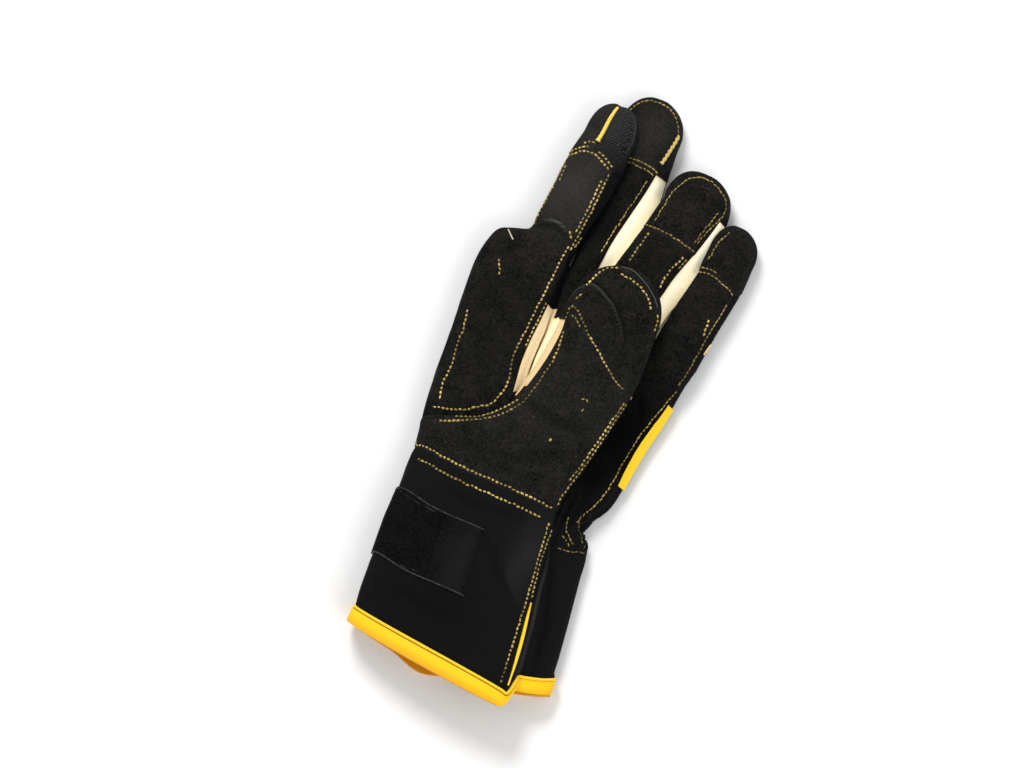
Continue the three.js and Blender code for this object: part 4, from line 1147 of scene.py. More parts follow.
def sheet_of(skin, piece, faces, distance=None):
    """Cuts faces out of a skin as a closed sheet with the look of a piece."""
    row = LOOK[piece]
    used, local = np.unique(faces, return_inverse=True)
    local = local.reshape(faces.shape)
    height, tone = relief(skin, used, piece)
    outer = skin.points[used] + skin.normals[used] * (row["lift"] + height)[:, None]
    inner = skin.points[used] + skin.normals[used] * (row["lift"] - row["wall"])
    outer[:, 2] = np.maximum(outer[:, 2], 0)
    n = len(used)
    rim = open_edges(local)
    rims = np.stack([rim[:, 1], rim[:, 0], rim[:, 0] + n, rim[:, 1] + n], axis=1)
    quads = np.vstack([local, local[:, ::-1] + n, rims])
    d = skin.distance[used] if distance is None else distance[used]
    values = {"seam_distance": np.tile(d, 2), "wear": np.tile(tone, 2)}
    name, both = f"{piece}_{row['look']}", np.vstack([outer, inner])
    obj = new_object(name, both, quads.tolist(), MATERIALS[row["look"]], values)
    obj.data.set_sharp_from_angle(angle=SHARP_EDGE)
    SURFACES[piece] = {
        "points": outer, "quads": local, "normals": vertex_normals(outer, local),
        "used": used, "skin": skin, "edge": d,
    }
    return obj


def skin(name, level):
    """The hand's, thumb's or cuff's skin at a level of subdivision, made once."""
    cages = {"hand": hand_cage, "thumb": thumb_cage, "cuff": cuff_cage}
    if (name, level) not in SKINS:
        SKINS[name, level] = Skin(cages[name](), level)
    return SKINS[name, level]


def make_pieces(part):
    """Makes every pattern piece of one part of the glove."""
    made = {}
    for piece in skin(part, PLAIN).names:
        s = skin(part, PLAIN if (piece in COARSE_PIECES) else FINE)
        obj = sheet_of(s, piece, s.quads[s.piece == s.names.index(piece)])
        nodes = () if piece in ADDED_PIECES else (piece,)
        made[piece] = finish_piece(obj, nodes)
    return made


def narrowed_tab(s, used):
    """The skin with the side tab's points slid up, and drawn in to the outline at its ends."""
    p = s.points[used]
    low, high = p[:, 1].min(), p[:, 1].max()
    heights = np.arange(low - 2, high + 8)
    rim = [s.points[np.abs(s.points[:, 1] - y) < 1, 0].max() for y in heights]
    kept = np.interp((p[:, 1] - low) / (high - low), *zip(*TAB_WIDTHS))
    inward = np.interp(p[:, 1], heights, rim) - p[:, 0]
    up = p[:, 1] + TAB_SLIDE
    moved = np.stack([np.interp(up, heights, rim) - inward * kept, up, p[:, 2]], axis=1)
    tree = BVHTree.FromPolygons(s.points.tolist(), s.quads.tolist())
    found = [tree.find_nearest(Vector(spot))[:2] for spot in moved]
    s = copy.copy(s)
    s.points, s.normals = s.points.copy(), s.normals.copy()
    s.points[used] = [spot for spot, _ in found]
    s.normals[used] = [normal for _, normal in found]
    return s


def make_trim(part, piece, width):
    """A strap or tab that lies on a part, its edges rounded to a width."""
    s = skin(part, FINE)
    faces = s.quads[s.trim == s.trims.index(piece)]
    used = np.unique(faces)
    if piece == "side_tab":
        s = narrowed_tab(s, used)
    edge = open_edges(faces)
    distance = s.distance.copy()
    if "strap" in piece:
        run = np.abs(s.points[edge[:, 1]] - s.points[edge[:, 0]])
        edge = edge[run[:, 1] < LONG_EDGE_SLOPE * np.hypot(run[:, 0], run[:, 2])]
    distance[used] = distances(s.points[used], s.points[edge])
    # The strap's highlight lines count as edges, so that the edge mask paints them as sheen
    if "strap" in piece:
        for line in STRAP_HIGHLIGHT_LINES:
            away, _, _ = line_distance(s.points[used][:, :2], line)
            distance[used] = np.minimum(distance[used], HIGHLIGHT_LINE_SEAT + 2 * away)
    obj = sheet_of(s, piece, faces, distance)
    round_edges(obj, width, 2)
    return finish_piece(obj, (piece,))


def round_edges(obj, width, segments=3):
    bevel = obj.modifiers.new("round", "BEVEL")
    bevel.width = width * MM
    bevel.segments = segments
    bevel.limit_method = "ANGLE"
    bevel.angle_limit = BEVEL_FROM
    bevel.use_clamp_overlap = True


# Lines over the finished pieces

# Lines are laid on the glove from this height
HIGH_UP = 80
PIPING_INSET = 0.25
PIPING_ABOVE = 15
PIPING_ENDS = (264.6, 286.5)
SIDE_PIPING = [(33.4, 39), (34.4, 33), (36, 25), (37.8, 16), (39.4, 7), (40.6, -1.5), (41, -5)]
# Each piping's radius: how it flares at the start, and how it thins out
TIP_FLARE = {"height": 0.35, "reach": 0.05, "thin": 0.3, "power": 4}
SIDE_THIN = {"power": 0.8, "least": 0.3, "round": 0.6}
CORD_SIDES = 12
CORD_LIFT = 0.4
CORD_TONE = 0.8
TWIST_PITCH = 2.6
THIN_CORDS = table("name pieces radius twist material line", [
    ["middle_tip_cord", "middle_cap", 0.8, 0.42, "thread", [(-2.6, 269.6), (-2, 273), (-1.6, 277.6),
        (-1, 284), (-1, 288)]],
    ["thumb_tip_edge_cord", "thumb_cap", 0.22, 0, "dull_thread", [(3, 210.3), (8.5, 211.2), (15, 208.9),
        (20, 206.2), (24.7, 202.8), (28.6, 198.6)]],
    ["knuckle_thread", "index_panel", 0.3, 0, "pale_thread", [(-57.6, 207), (-55.6, 205), (-53.6, 203.2),
        (-52.3, 202)]],
    ["side_rim_cord", "ulnar_side_wall palm_panel", 0.4, 0, "pale_peach", [(59.6, 208), (59.2, 202.7),
        (58.4, 198.4), (57.9, 195.1), (57.4, 191)]],
])


def contour(points, quads, field, level):
    """The line where a field crosses a level over a surface, as chains of points."""
    above = field > level
    mixed = quads[(above[quads].any(1)) & (~above[quads].all(1))]
    beside, spots = {}, {}
    for quad in mixed.tolist():
        crossed = []
        for a, b in zip(quad, quad[1:] + quad[:1]):
            if above[a] != above[b]:
                key = (min(a, b), max(a, b))
                t = (level - field[key[0]]) / (field[key[1]] - field[key[0]])
                spots[key] = points[key[0]] * (1 - t) + points[key[1]] * t
                crossed.append(key)
        for one, other in zip(crossed[::2], crossed[1::2]):
            beside.setdefault(one, []).append(other)
            beside.setdefault(other, []).append(one)
    chains = []
    starts = [key for key, near in beside.items() if len(near) == 1] + list(beside)
    seen = set()
    for start in starts:
        if start in seen:
            continue
        chain, here = [], start
        while here is not None and here not in seen:
            seen.add(here)
            chain.append(spots[here])
            here = next((key for key in beside[here] if key not in seen), None)
        if len(chain) > 3:
            chains.append(np.array(chain))
    return chains


def spaced(line, pitch):
    """Points along a line at an even pitch, and the line's direction there."""
    steps = np.linalg.norm(np.diff(line, axis=0), axis=1)
    along = np.concatenate([[0], np.cumsum(steps)])
    count = int(along[-1] // pitch)
    if count < 1:
        return np.empty((0, 3)), np.empty((0, 3))
    at = (along[-1] - (count - 1) * pitch) / 2 + pitch * np.arange(count)

    def read_line(t):
        return np.stack([np.interp(t, along, line[:, k]) for k in range(3)], axis=1)

    ahead = read_line(at + pitch / 3) - read_line(at - pitch / 3)
    return read_line(at), ahead / np.maximum(np.linalg.norm(ahead, axis=1, keepdims=True), 1e-9)


def curve_through(points, step=0.5):
    """A smooth curve through a few chosen points."""
    p = np.array(points, float)
    p = np.vstack([2 * p[0] - p[1], p, 2 * p[-1] - p[-2]])
    out = []
    for a, b, c, d in zip(p, p[1:], p[2:], p[3:]):
        count = max(2, int(np.linalg.norm(c - b) / step))
        for t in np.arange(count)[:, None] / count:
            out.append(0.5 * (2 * b + (c - a) * t + (2 * a - 5 * b + 4 * c - d) * t**2
                              + (3 * b - a - 3 * c + d) * t**3)[None])
    return np.vstack([np.vstack(out), p[-2][None]])


class Ground:
    """The outer faces of some pieces, to lay lines on from above."""

    def __init__(self, pieces):
        points, quads, count = [], [], 0
        for surface in (SURFACES[piece] for piece in pieces.split()):
            points.append(surface["points"])
            quads += (surface["quads"] + count).tolist()
            count += len(surface["points"])
        self.tree = BVHTree.FromPolygons(np.vstack(points).tolist(), quads)

    def lay(self, line):
        """The points straight below a line, and the normals of the surface there."""
        found = [self.tree.ray_cast(Vector((x, y, HIGH_UP)), Vector((0, 0, -1)))[:2] for x, y in line]
        found = [(spot, normal) for spot, normal in found if spot is not None]
        return np.array(found).reshape(-1, 2, 3).transpose(1, 0, 2)


def averaged(values, count=7):
    """A running mean along a line, its ends kept."""
    padded = np.pad(values, ((count // 2, count // 2), (0, 0)), mode="edge")
    return np.stack([np.convolve(padded[:, k], np.ones(count) / count, "valid") for k in range(3)], 1)


def sleeve(rings, sides):
    """The quads between rings of points, seen from outside."""
    first = np.arange(sides)
    after = np.roll(first, -1)
    return np.vstack([
        np.stack([first, after, after + sides, first + sides], axis=1) + k * sides
        for k in range(rings - 1)
    ])


def lay_cord(name, line, up, radius, material, twist=0.0, nodes=()):
    """A cord along a line on the surface; radius is one size, or one for every point."""
    radius = np.broadcast_to(radius, len(line))
    up = np.broadcast_to(up, line.shape)
    ahead = np.gradient(line, axis=0)
    ahead /= np.linalg.norm(ahead, axis=1, keepdims=True)
    across = np.cross(ahead, up)
    across /= np.linalg.norm(across, axis=1, keepdims=True)
    up = np.cross(across, ahead)
    along = np.concatenate([[0], np.cumsum(np.linalg.norm(np.diff(line, axis=0), axis=1))])
    angles = 2 * np.pi * np.arange(CORD_SIDES) / CORD_SIDES
    points = []
    for n in range(len(line)):
        strands = 1 + twist * np.cos(2 * angles - 2 * np.pi * along[n] / TWIST_PITCH)
        r = (radius[n] * strands)[:, None]
        ring = np.cos(angles)[:, None] * across[n] + np.sin(angles)[:, None] * up[n]
        points.append(line[n] + up[n] * radius[n] * CORD_LIFT + r * ring)
    ends = np.arange(CORD_SIDES)
    last = (len(line) - 1) * CORD_SIDES
    faces = sleeve(len(line), CORD_SIDES).tolist() + [ends[::-1].tolist(), (ends + last).tolist()]
    points = np.vstack(points)
    tone = {"thread_tone": np.full(len(points), CORD_TONE)}
    obj = new_object(name, points, faces, MATERIALS[material], tone)
    return finish_piece(obj, nodes)


def lay_pipings(sizes):
    """The piping on the index fingertip and the one down the cuff's side."""
    tip = SURFACES["index_cap"]
    field = tip["skin"].seam_distance("index_cap", "index_cap_side", tip["used"])
    line = max(contour(tip["points"], tip["quads"], field, PIPING_INSET), key=len)
    line = line[line[:, 2] > PIPING_ABOVE]
    line = line[np.argsort(line[:, 1])]
    line = line[(line[:, 1] > PIPING_ENDS[0]) & (line[:, 1] < PIPING_ENDS[1])]
    spots, _ = spaced(averaged(line), 0.35)
    share = np.linspace(0, 1, len(spots))
    t = TIP_FLARE
    width = sizes.piping_width / MM / 2 * (1 + t["height"] * bell(share, t["reach"]))
    width *= 1 - t["thin"] * share ** t["power"]
    lay_cord("index_tip_piping_cord", spots, (0.15, 0, 1), width, "piping", 0.05, ("index_tip_piping",))

    spots, _ = Ground("cuff_front cuff_side_gusset").lay(curve_through(SIDE_PIPING))
    spots = averaged(spots, 9)
    share = np.linspace(0, 1, len(spots))
    t = SIDE_THIN
    thin = np.clip(np.sin(np.pi * share ** t["power"]), t["least"], 1) ** t["round"]
    width = sizes.side_piping_width / MM / 2 * thin
    lay_cord("side_piping_cord", spots, (0.4, 0, 0.9), width, "trim", 0.0, ("side_piping",))


def lay_thin_cords():
    """The line along the top of the binding, and the thin cords on the hand and the thumb."""
    for line, _, _ in seam_row(HEM_LINE):
        spots, _ = spaced(averaged(line), 0.7)
        if len(spots) > 20:
            lay_cord("front_binding_line", spots, (0, -0.3, 1), 0.24, "hem_line")
    for cord in THIN_CORDS:
        spots, up = Ground(cord["pieces"]).lay(curve_through(cord["line"]))
        lay_cord(cord["name"], averaged(spots), up, cord["radius"], cord["material"], cord["twist"])


# Stitching

# Rows of stitches beside seams: the piece that carries the row, the piece it is
# sewn to, how far in the row lies, and the stretch across and along that it covers
SEAM_ROWS = table("piece beside inset left right low high", [
    ["index_cap", "index_panel", 1.2, -60, 0, 0, 400],
    ["index_cap_side", "index_panel", 1.2, -60, 0, 0, 400],
    ["index_panel", "index_cap index_cap_side", 1.2, -60, 0, 0, 400],
    ["index_panel", "radial_side_wall", 3.2, -80, 0, 213, 262],
    ["index_panel", "radial_side_wall", 5.2, -80, 0, 238, 262],
    ["index_panel", "index_middle_fourchette", 1.3, -60, 0, 207, 262],
    ["index_panel", "index_middle_fourchette", 3.3, -60, 0, 216, 250],
    ["index_panel", "thumb_web heel_tuck", 2.1, -60, 0, 153, 186],
    ["middle_cap", "palm_panel", 1.2, -40, 10, 0, 400],
    ["palm_panel", "middle_cap", 1.2, -40, 10, 0, 400],
    ["palm_panel", "middle_ring_fourchette", 3.0, -60, 0, 214, 266],
    ["ring_cap", "palm_panel", 1.1, -5, 45, 0, 400],
    ["palm_panel", "ring_little_fourchette", 2.4, 0, 34, 222, 236],
    ["little_cap", "palm_panel", 1.2, 30, 48, 0, 400],
    ["palm_panel", "little_cap", 1.2, 30, 70, 0, 400],
    ["palm_panel", "ulnar_side_wall", 1.9, 20, 80, 170, 220],
    ["thenar_panel", "thumb_side_wall", 1.3, 0, 60, 86, 150],
    ["thenar_panel", "thumb_side_wall", 3.5, 0, 60, 100, 149],
    ["thumb_cap", "thumb_side_wall", 1.4, 20, 60, 150, 176],
    ["thenar_panel", "", 1.4, -60, 60, 70, 92],
    ["cuff_front", "", 5.6, -60, 60, 70, 88],
])
# The line sewn along the top of the binding
HEM_LINE = {
    "piece": "front_binding", "beside": "cuff_front cuff_side_gusset", "inset": 1.5,
    "left": -60, "right": 62, "low": -40, "high": 30,
}

# Rows of stitches that lie free over the glove: the pieces they lie on, their line,
# and whether their thread is fine
WRIST = "palm_panel cuff_side_gusset cuff_front ulnar_side_wall cuff_back"
THUMB_FRONT = "thumb_cap thenar_panel"
FREE_ROWS = table("pieces line fine", [
    ["thumb_cap", [(-8.6, 192.6), (-7.6, 196.2), (-6.8, 199.8), (-4.4, 205), (-0.6, 208.2), (3, 209.6)]],
    ["thumb_cap", [(28.8, 197), (31, 192.5), (31.8, 186)]],
    ["thumb_cap", [(3.3, 206.2), (7.3, 206.4), (13, 205.4), (16.4, 204.4), (20.4, 202.2), (23.7, 199.4),
        (26.6, 195.4)]],
    [THUMB_FRONT, [(-10.6, 173.5), (-11.4, 178.3), (-11, 181.4), (-9.4, 181.8), (-5.4, 179.2),
        (-1.2, 175.3), (3, 171.5), (6.9, 168.3), (11.1, 165.8), (16.1, 161.5), (20, 158.7), (25.5, 155),
        (31.8, 153.6)]],
    [THUMB_FRONT, [(-10, 177.6), (-8.2, 177.4), (-5.2, 175.6), (-1.2, 172.4)]],
    ["thumb_cap", [(-10.6, 184.6), (-9.6, 187.6), (-8.4, 190)]],
    ["thenar_panel", [(-9.1, 169.5), (-7.9, 162), (-7.4, 154), (-7.8, 148), (-8.9, 141.3), (-10, 135),
        (-11.8, 127.6), (-17.2, 119.5), (-24.6, 112.8), (-33, 108.2), (-41, 104.6), (-47.6, 102.4)]],
    ["thenar_panel", [(-13.8, 129), (-19.2, 121.8), (-28, 112.9), (-36, 109.4), (-42, 107)]],
    ["thenar_panel", [(13.5, 137.8), (14.1, 140.1), (16.5, 140.7), (17.7, 139.9), (16.8, 137.7)], True],
    ["thenar_panel", [(17.4, 136.4), (16.2, 135), (17.3, 133.2)], True],
    ["thenar_panel", [(8.4, 112.4), (9.3, 116.8)]],
    ["index_panel", [(-54, 108.6), (-49.6, 109.8), (-42.4, 111.4), (-32.6, 116.4), (-26.3, 121.9),
        (-24, 129.4), (-24.2, 136), (-25.7, 142.6), (-27.1, 149.2), (-27.1, 157.4), (-26.9, 163),
        (-26.8, 171), (-26.6, 187.7), (-26.5, 196), (-26.3, 207), (-25.2, 211.8)]],
    ["index_panel", [(-58.1, 161.9), (-57.4, 157.6), (-55.8, 149.3), (-55.2, 141.5), (-53.2, 131),
        (-53.6, 122.6), (-51.4, 112.4)]],
    ["index_panel", [(-55.2, 192), (-54, 188.6), (-51.8, 184.8), (-50.6, 181.4)]],
    ["index_panel index_middle_fourchette", [(-22.4, 220), (-22.8, 215.6), (-23.8, 211)]],
    ["index_panel", [(-29.4, 218.8), (-27.6, 216.2), (-25.4, 213.4)]],
    ["index_cap", [(-42.4, 261.8), (-39.4, 263.6), (-35.4, 265)]],
    ["palm_panel", [(53, 208.3), (53.4, 203), (53.8, 197.6)]],
    ["palm_panel", [(7.4, 235.6), (6.6, 231.1), (5.7, 225.4), (4.9, 220.7), (4.2, 216.3)]],
    ["palm_panel", [(28.3, 231.4), (27.1, 227.2), (25.4, 223), (24.4, 218.5), (23.9, 214.1), (24.2, 210.5)]],
    ["cuff_front", [(24.8, 79), (26.6, 66), (28.5, 54.7), (31, 39.3), (32.8, 28), (34.4, 16.3), (35.8, 6),
        (37, -3), (37.6, -6)]],
    ["cuff_front cuff_side_gusset", [(27.2, 78), (27.8, 69), (29.2, 58), (31.2, 48), (33, 39)]],
    [WRIST, [(53.6, 170), (51.4, 161.4), (49.6, 154), (47.8, 146.7), (46.1, 139.8), (45.3, 132.4),
        (44.3, 122.5), (43.9, 116.4), (43.2, 107), (41.2, 98.9), (38.6, 93.7), (36.8, 89.1),
        (36.2, 85)], True],
    [WRIST, [(33, 69.6), (39.5, 71.6), (46.5, 75)]],
    [WRIST, [(31.5, 88), (32.4, 82), (35.6, 78), (40.6, 74.6)]],
    [WRIST, [(36.4, 91), (38, 85), (42.2, 80), (45.8, 76)]],
    [WRIST, [(32, 77.5), (35.8, 75.6), (38.8, 72.8)]],
    ["middle_cap", [(-29.4, 286), (-27.4, 292.4), (-22.6, 297.2), (-15.4, 298.6), (-8.4, 296.6),
        (-3.4, 292.2), (-1, 287.6)]],
    ["ring_cap", [(7.4, 240.6), (8, 248.9), (8.6, 255.5), (10, 261.5), (13.2, 267.8), (17.6, 271.2),
        (23.6, 272), (30.6, 269.6), (35.8, 265), (36.9, 259.6), (35.2, 253.1), (33.4, 247.6), (31.3, 239)]],
    ["ring_cap", [(34.4, 260.1), (32.3, 250), (29.8, 238)]],
    ["little_cap", [(39.9, 234), (40.4, 242.3), (41.5, 247.8), (44.5, 253.6)]],
])
# Seams beside these pieces are sewn with a finer and duller thread: its length,
# width and height, and how light it is
FINE_PIECES = {
    "middle_cap", "ring_cap", "little_cap", "middle_ring_fourchette", "ring_little_fourchette",
    "ulnar_side_wall",
}
FINE_THREAD = np.array([1.2, 0.7, 0.8])
FINE_TONE = 0.6
# Shape of one stitch: its sides and rings, how thin its ends are, its strands, and
# how high its middle stands and its ends sink
STITCH = {
    "sides": 8, "rings": 7, "ends": 0.12, "strands": 0.1, "flat": 0.85, "lift": 0.22, "sink": 0.6,
}
# How far stitches turn, differ in length and thickness, and lie aside
SPREAD = {"turn": 0.12, "length": 0.13, "thickness": 0.12, "aside": 0.15}
# The thread's tone drifts in patches and differs from stitch to stitch
DRIFT = {"size": 11, "seed": 21, "level": 0.5, "height": 0.9, "share": 0.6, "power": 1.1}
# How much nearer than its inset a row may come to another seam or edge
ROW_CLEARANCE = 0.55


def stitch_shape(sizes):
    """One stitch along X: a short plump strand whose ends sink into the leather."""
    s, sides, rings = STITCH, STITCH["sides"], STITCH["rings"]
    t = np.cos(np.pi * np.arange(rings) / (rings - 1))[:, None]
    a = 2 * np.pi * np.arange(sides)[None] / sides
    r = sizes.thread_width / MM / 2 * np.sqrt(np.maximum(s["ends"], 1 - t**4))
    x = -t * sizes.stitch_length / MM / 2 + 0 * a
    strand = 1 + s["strands"] * np.cos(3 * a + 4 * t)
    y = r * strand * np.cos(a)
    z = s["flat"] * r * strand * np.sin(a) + s["lift"] - s["sink"] * t**2
    points = np.stack([x, y, z], axis=2).reshape(-1, 3)
    return points, np.roll(sleeve(rings, sides)[:, ::-1], 1, axis=1)


def is_fine(pieces):
    return not FINE_PIECES.isdisjoint(pieces)


def sew(name, rows, sizes):
    """Joins the stitches of many rows, each a line and its normals, into one piece."""
    shape, quads = stitch_shape(sizes)
    random = np.random.default_rng(len(name))
    points, faces, tones = [], [], []
    for line, normals, fine in rows:
        line = averaged(line)
        tree = nearest_tree(line)
        for spot, way in zip(*spaced(line, sizes.stitch_pitch / MM)):
            up = normals[tree.find(spot)[1]]
            across = np.cross(up, way)
            across /= max(np.linalg.norm(across), 1e-9)
            way = way + across * random.normal(0, SPREAD["turn"])
            turned = np.stack([way, across, np.cross(way, across)])
            scale = np.array([random.normal(1, SPREAD["length"]), random.normal(1, SPREAD["thickness"]), 1])
            scale *= FINE_THREAD if fine else 1
            faces.append(quads + len(points) * len(shape))
            aside = across * random.normal(0, SPREAD["aside"])
            points.append(spot + aside + (shape * scale) @ turned)
            drift = DRIFT["level"] + DRIFT["height"] * noise(spot[None], DRIFT["size"], DRIFT["seed"])[0]
            own = (1 - DRIFT["share"]) * random.uniform(0, 1)
            tone = np.clip(DRIFT["share"] * drift + own, 0, 1) ** DRIFT["power"]
            tones.append(np.full(len(shape), tone * (FINE_TONE if fine else 1)))
    tone = {"thread_tone": np.concatenate(tones)}
    faces = np.vstack(faces).tolist()
    obj = new_object(name, np.vstack(points), faces, MATERIALS["thread"], tone)
    return finish_piece(obj)


def seam_row(row):
    """The lines of a row of stitches beside a seam, with their normals."""
    surface = SURFACES[row["piece"]]
    field = surface["skin"].seam_distance(row["piece"], row["beside"], surface["used"])
    tree = nearest_tree(surface["points"])
    fine = is_fine([row["piece"], *row["beside"].split()])
    found = []
    for chain in contour(surface["points"], surface["quads"], field, row["inset"]):
        nearest = np.array([tree.find(p)[1] for p in chain])
        keep = surface["edge"][nearest] > row["inset"] - ROW_CLEARANCE
        keep &= (chain[:, 0] > row["left"]) & (chain[:, 0] < row["right"])
        keep &= (chain[:, 1] > row["low"]) & (chain[:, 1] < row["high"])
        for part in np.split(np.arange(len(chain)), np.where(np.diff(keep))[0] + 1):
            if keep[part[0]] and len(part) > 3:
                found.append((chain[part], surface["normals"][nearest[part]], fine))
    return found


def free_row(row):
    fine = "fine" in row or is_fine(row["pieces"].split())
    return *Ground(row["pieces"]).lay(curve_through(row["line"])), fine


# Materials

# Noises of the cloths and leathers: size in millimetres, detail and roughness
GRAINS = {
    "fibre": (1.0, 3, 0.65), "clump": (1.9, 2, 0.6), "mottle": (9, 3, 0.6), "fuzz": (0.9, 2, 0.7),
    "uneven": (2.2, 2, 0.5), "slip": (2.4, 2, 0.5), "patchy": (2.4, 3, 0.65),
    "scuffed": (16, 2, 0.5), "specks": (2.0, 3, 0.7), "strands": (0.4, 2, 0.5),
}
# How far a weave and a grip slant where the cloth turns to face sideways, and the
# slants of the grip's two sets of lines
LEAN = {"weave": 0.7, "grip": 0.8}
GRIP_SLANTS = (0.6, 1.1)
GRIP_SLIP = 7.0
# Finishes of the cloths and leathers. Gloss: roughness, specular and sheen. Ground:
# the groups that the tone and the height come from. Bump: the height in millimetres.
# Range: the darkest and the lightest shade. Groups: their values. Layers over the
# tone: a group's mask, its share, and the shade it gives. The crease group's masks
# carry painted shade in folds and shadowed places and painted highlights on ridges,
# lips and lit places, along with lighter and darker patches; on the strap the edge
# mask is a painted sheen. A shade is a factor on the colour and an amount added, each
# one number or one for each channel.
FINISHES = {
    "suede": {
        "gloss": (0.95, 0.06, 0.01), "ground": ("nap", "nap"), "bump": 0.35,
        "range": [(0.15, 0), (1.9, 0)],
        "groups": {
            "nap": {"Fibre": 2.6, "Mottle": 1.1}, "edge": {"Reach": 1.1, "Breakup": 0.9},
            "crease": {"Strength": 1.0}, "scuffs": {"Amount": 0.4},
        },
        "layers": [
            ("edge", "Mask", 0.35, (3.5, 0.01)), ("crease", "Soiled", 1, (0.15, 0)),
            ("crease", "Rubbed", 0.8, (5, 0.03)), ("scuffs", "Mask", 1, (0, (0.10, 0.075, 0.045))),
        ],
    },
    "canvas": {
        "gloss": (0.9, 0.05, 0.01), "ground": ("weave", "weave"), "bump": 0.16,
        "range": [(0.15, 0), (2.2, 0)],
        "groups": {
            "weave": {"Pitch": 1.1, "Unevenness": 2.5}, "edge": {"Reach": 0.9, "Breakup": 0.9},
            "crease": {"Strength": 0.8},
        },
        "layers": [
            ("edge", "Mask", 0.3, (4, 0.01)), ("crease", "Soiled", 1, (0.2, 0)),
            ("crease", "Rubbed", 0.8, (6, 0.02)),
        ],
    },
    "mesh": {
        "gloss": (0.75, 0.12, 0), "ground": ("knurl", "knurl"), "bump": 0.4,
        "range": [(0.35, 0), (3.4, 0.02)],
        "groups": {"knurl": {"Pitch": 2.2}, "crease": {"Strength": 1.0}},
        "layers": [("crease", "Soiled", 1, (1, 0)), ("crease", "Rubbed", 1, (3, 0.025))],
    },
    "cream": {
        "gloss": (0.85, 0.15, 0), "ground": ("weave", "weave"), "bump": 0.12,
        "range": [(0.93, 0), (1.04, 0)],
        "groups": {
            "weave": {"Pitch": 0.8, "Unevenness": 1.0}, "edge": {"Reach": 1.4, "Breakup": 0.3},
            "crease": {"Strength": 0.9},
        },
        # On the pale cloth the darker crease mask paints shade into the fold of the thumb's web
        "layers": [
            ("edge", "Mask", 0.7, ((0.9, 0.66, 0.4), 0)),
            ("crease", "Soiled", 1, (0, (0.16, 0.07, 0.02))),
        ],
    },
    "tape": {
        "gloss": (0.55, 0.2, 0), "ground": ("weave", "weave"), "bump": 0.1,
        "range": [(0.94, 0), (1.05, 0)],
        "groups": {"weave": {"Pitch": 0.9, "Unevenness": 0.8}, "crease": {"Strength": 1.0}},
        # On the tape both crease masks are painted light and shade: a highlight on the band above the
        # crease, and shade in the crease, on the lower part and in the cuff's mouth
        "layers": [
            ("crease", "Soiled", 1, ((0.8, 0.5, 0.3), 0)),
            ("crease", "Rubbed", 0.5, (0, (0.98, 0.80, 0.12))),
        ],
    },
    "webbing": {
        "gloss": (0.85, 0.035, 0), "ground": ("nap", "weave"), "bump": 0.3,
        "range": [(0.2, 0), (2.2, 0)],
        "groups": {
            "nap": {"Fibre": 2.6, "Mottle": 0.9}, "weave": {"Pitch": 1.6, "Unevenness": 2.0},
            "edge": {"Reach": 0.9, "Breakup": 0.6}, "crease": {"Strength": 1.0},
        },
        # On the strap the edge mask paints a grey sheen along its long edges and its highlight lines
        "layers": [
            ("crease", "Rubbed", 1, (3, 0.004)), ("edge", "Mask", 0.9, (0, (0.08, 0.08, 0.08))),
        ],
    },
}
# Each material's finish; its colour is the setting of the same name
CLOTHS = {
    "suede": "suede", "canvas": "canvas", "mesh": "mesh", "cream": "cream", "peach": "cream",
    "pale_peach": "cream", "tape": "tape", "trim": "tape", "piping": "tape", "hem_line": "tape",
    "webbing": "webbing",
}
# Pale cloth glows weakly with this strength: painted light that lifts the shade on the
# gussets, the thumb's web and the pale rim cord. Places painted lighter glow more: the
# others have this share of their glow.
PAINTED_GLOW = {"cream": 0.2, "peach": 0.0, "pale_peach": 0.28}
PAINTED_GLOW_DIM = 0.35
THREADS = ("thread", "dull_thread", "pale_thread")
THREAD_BUMP = 0.06


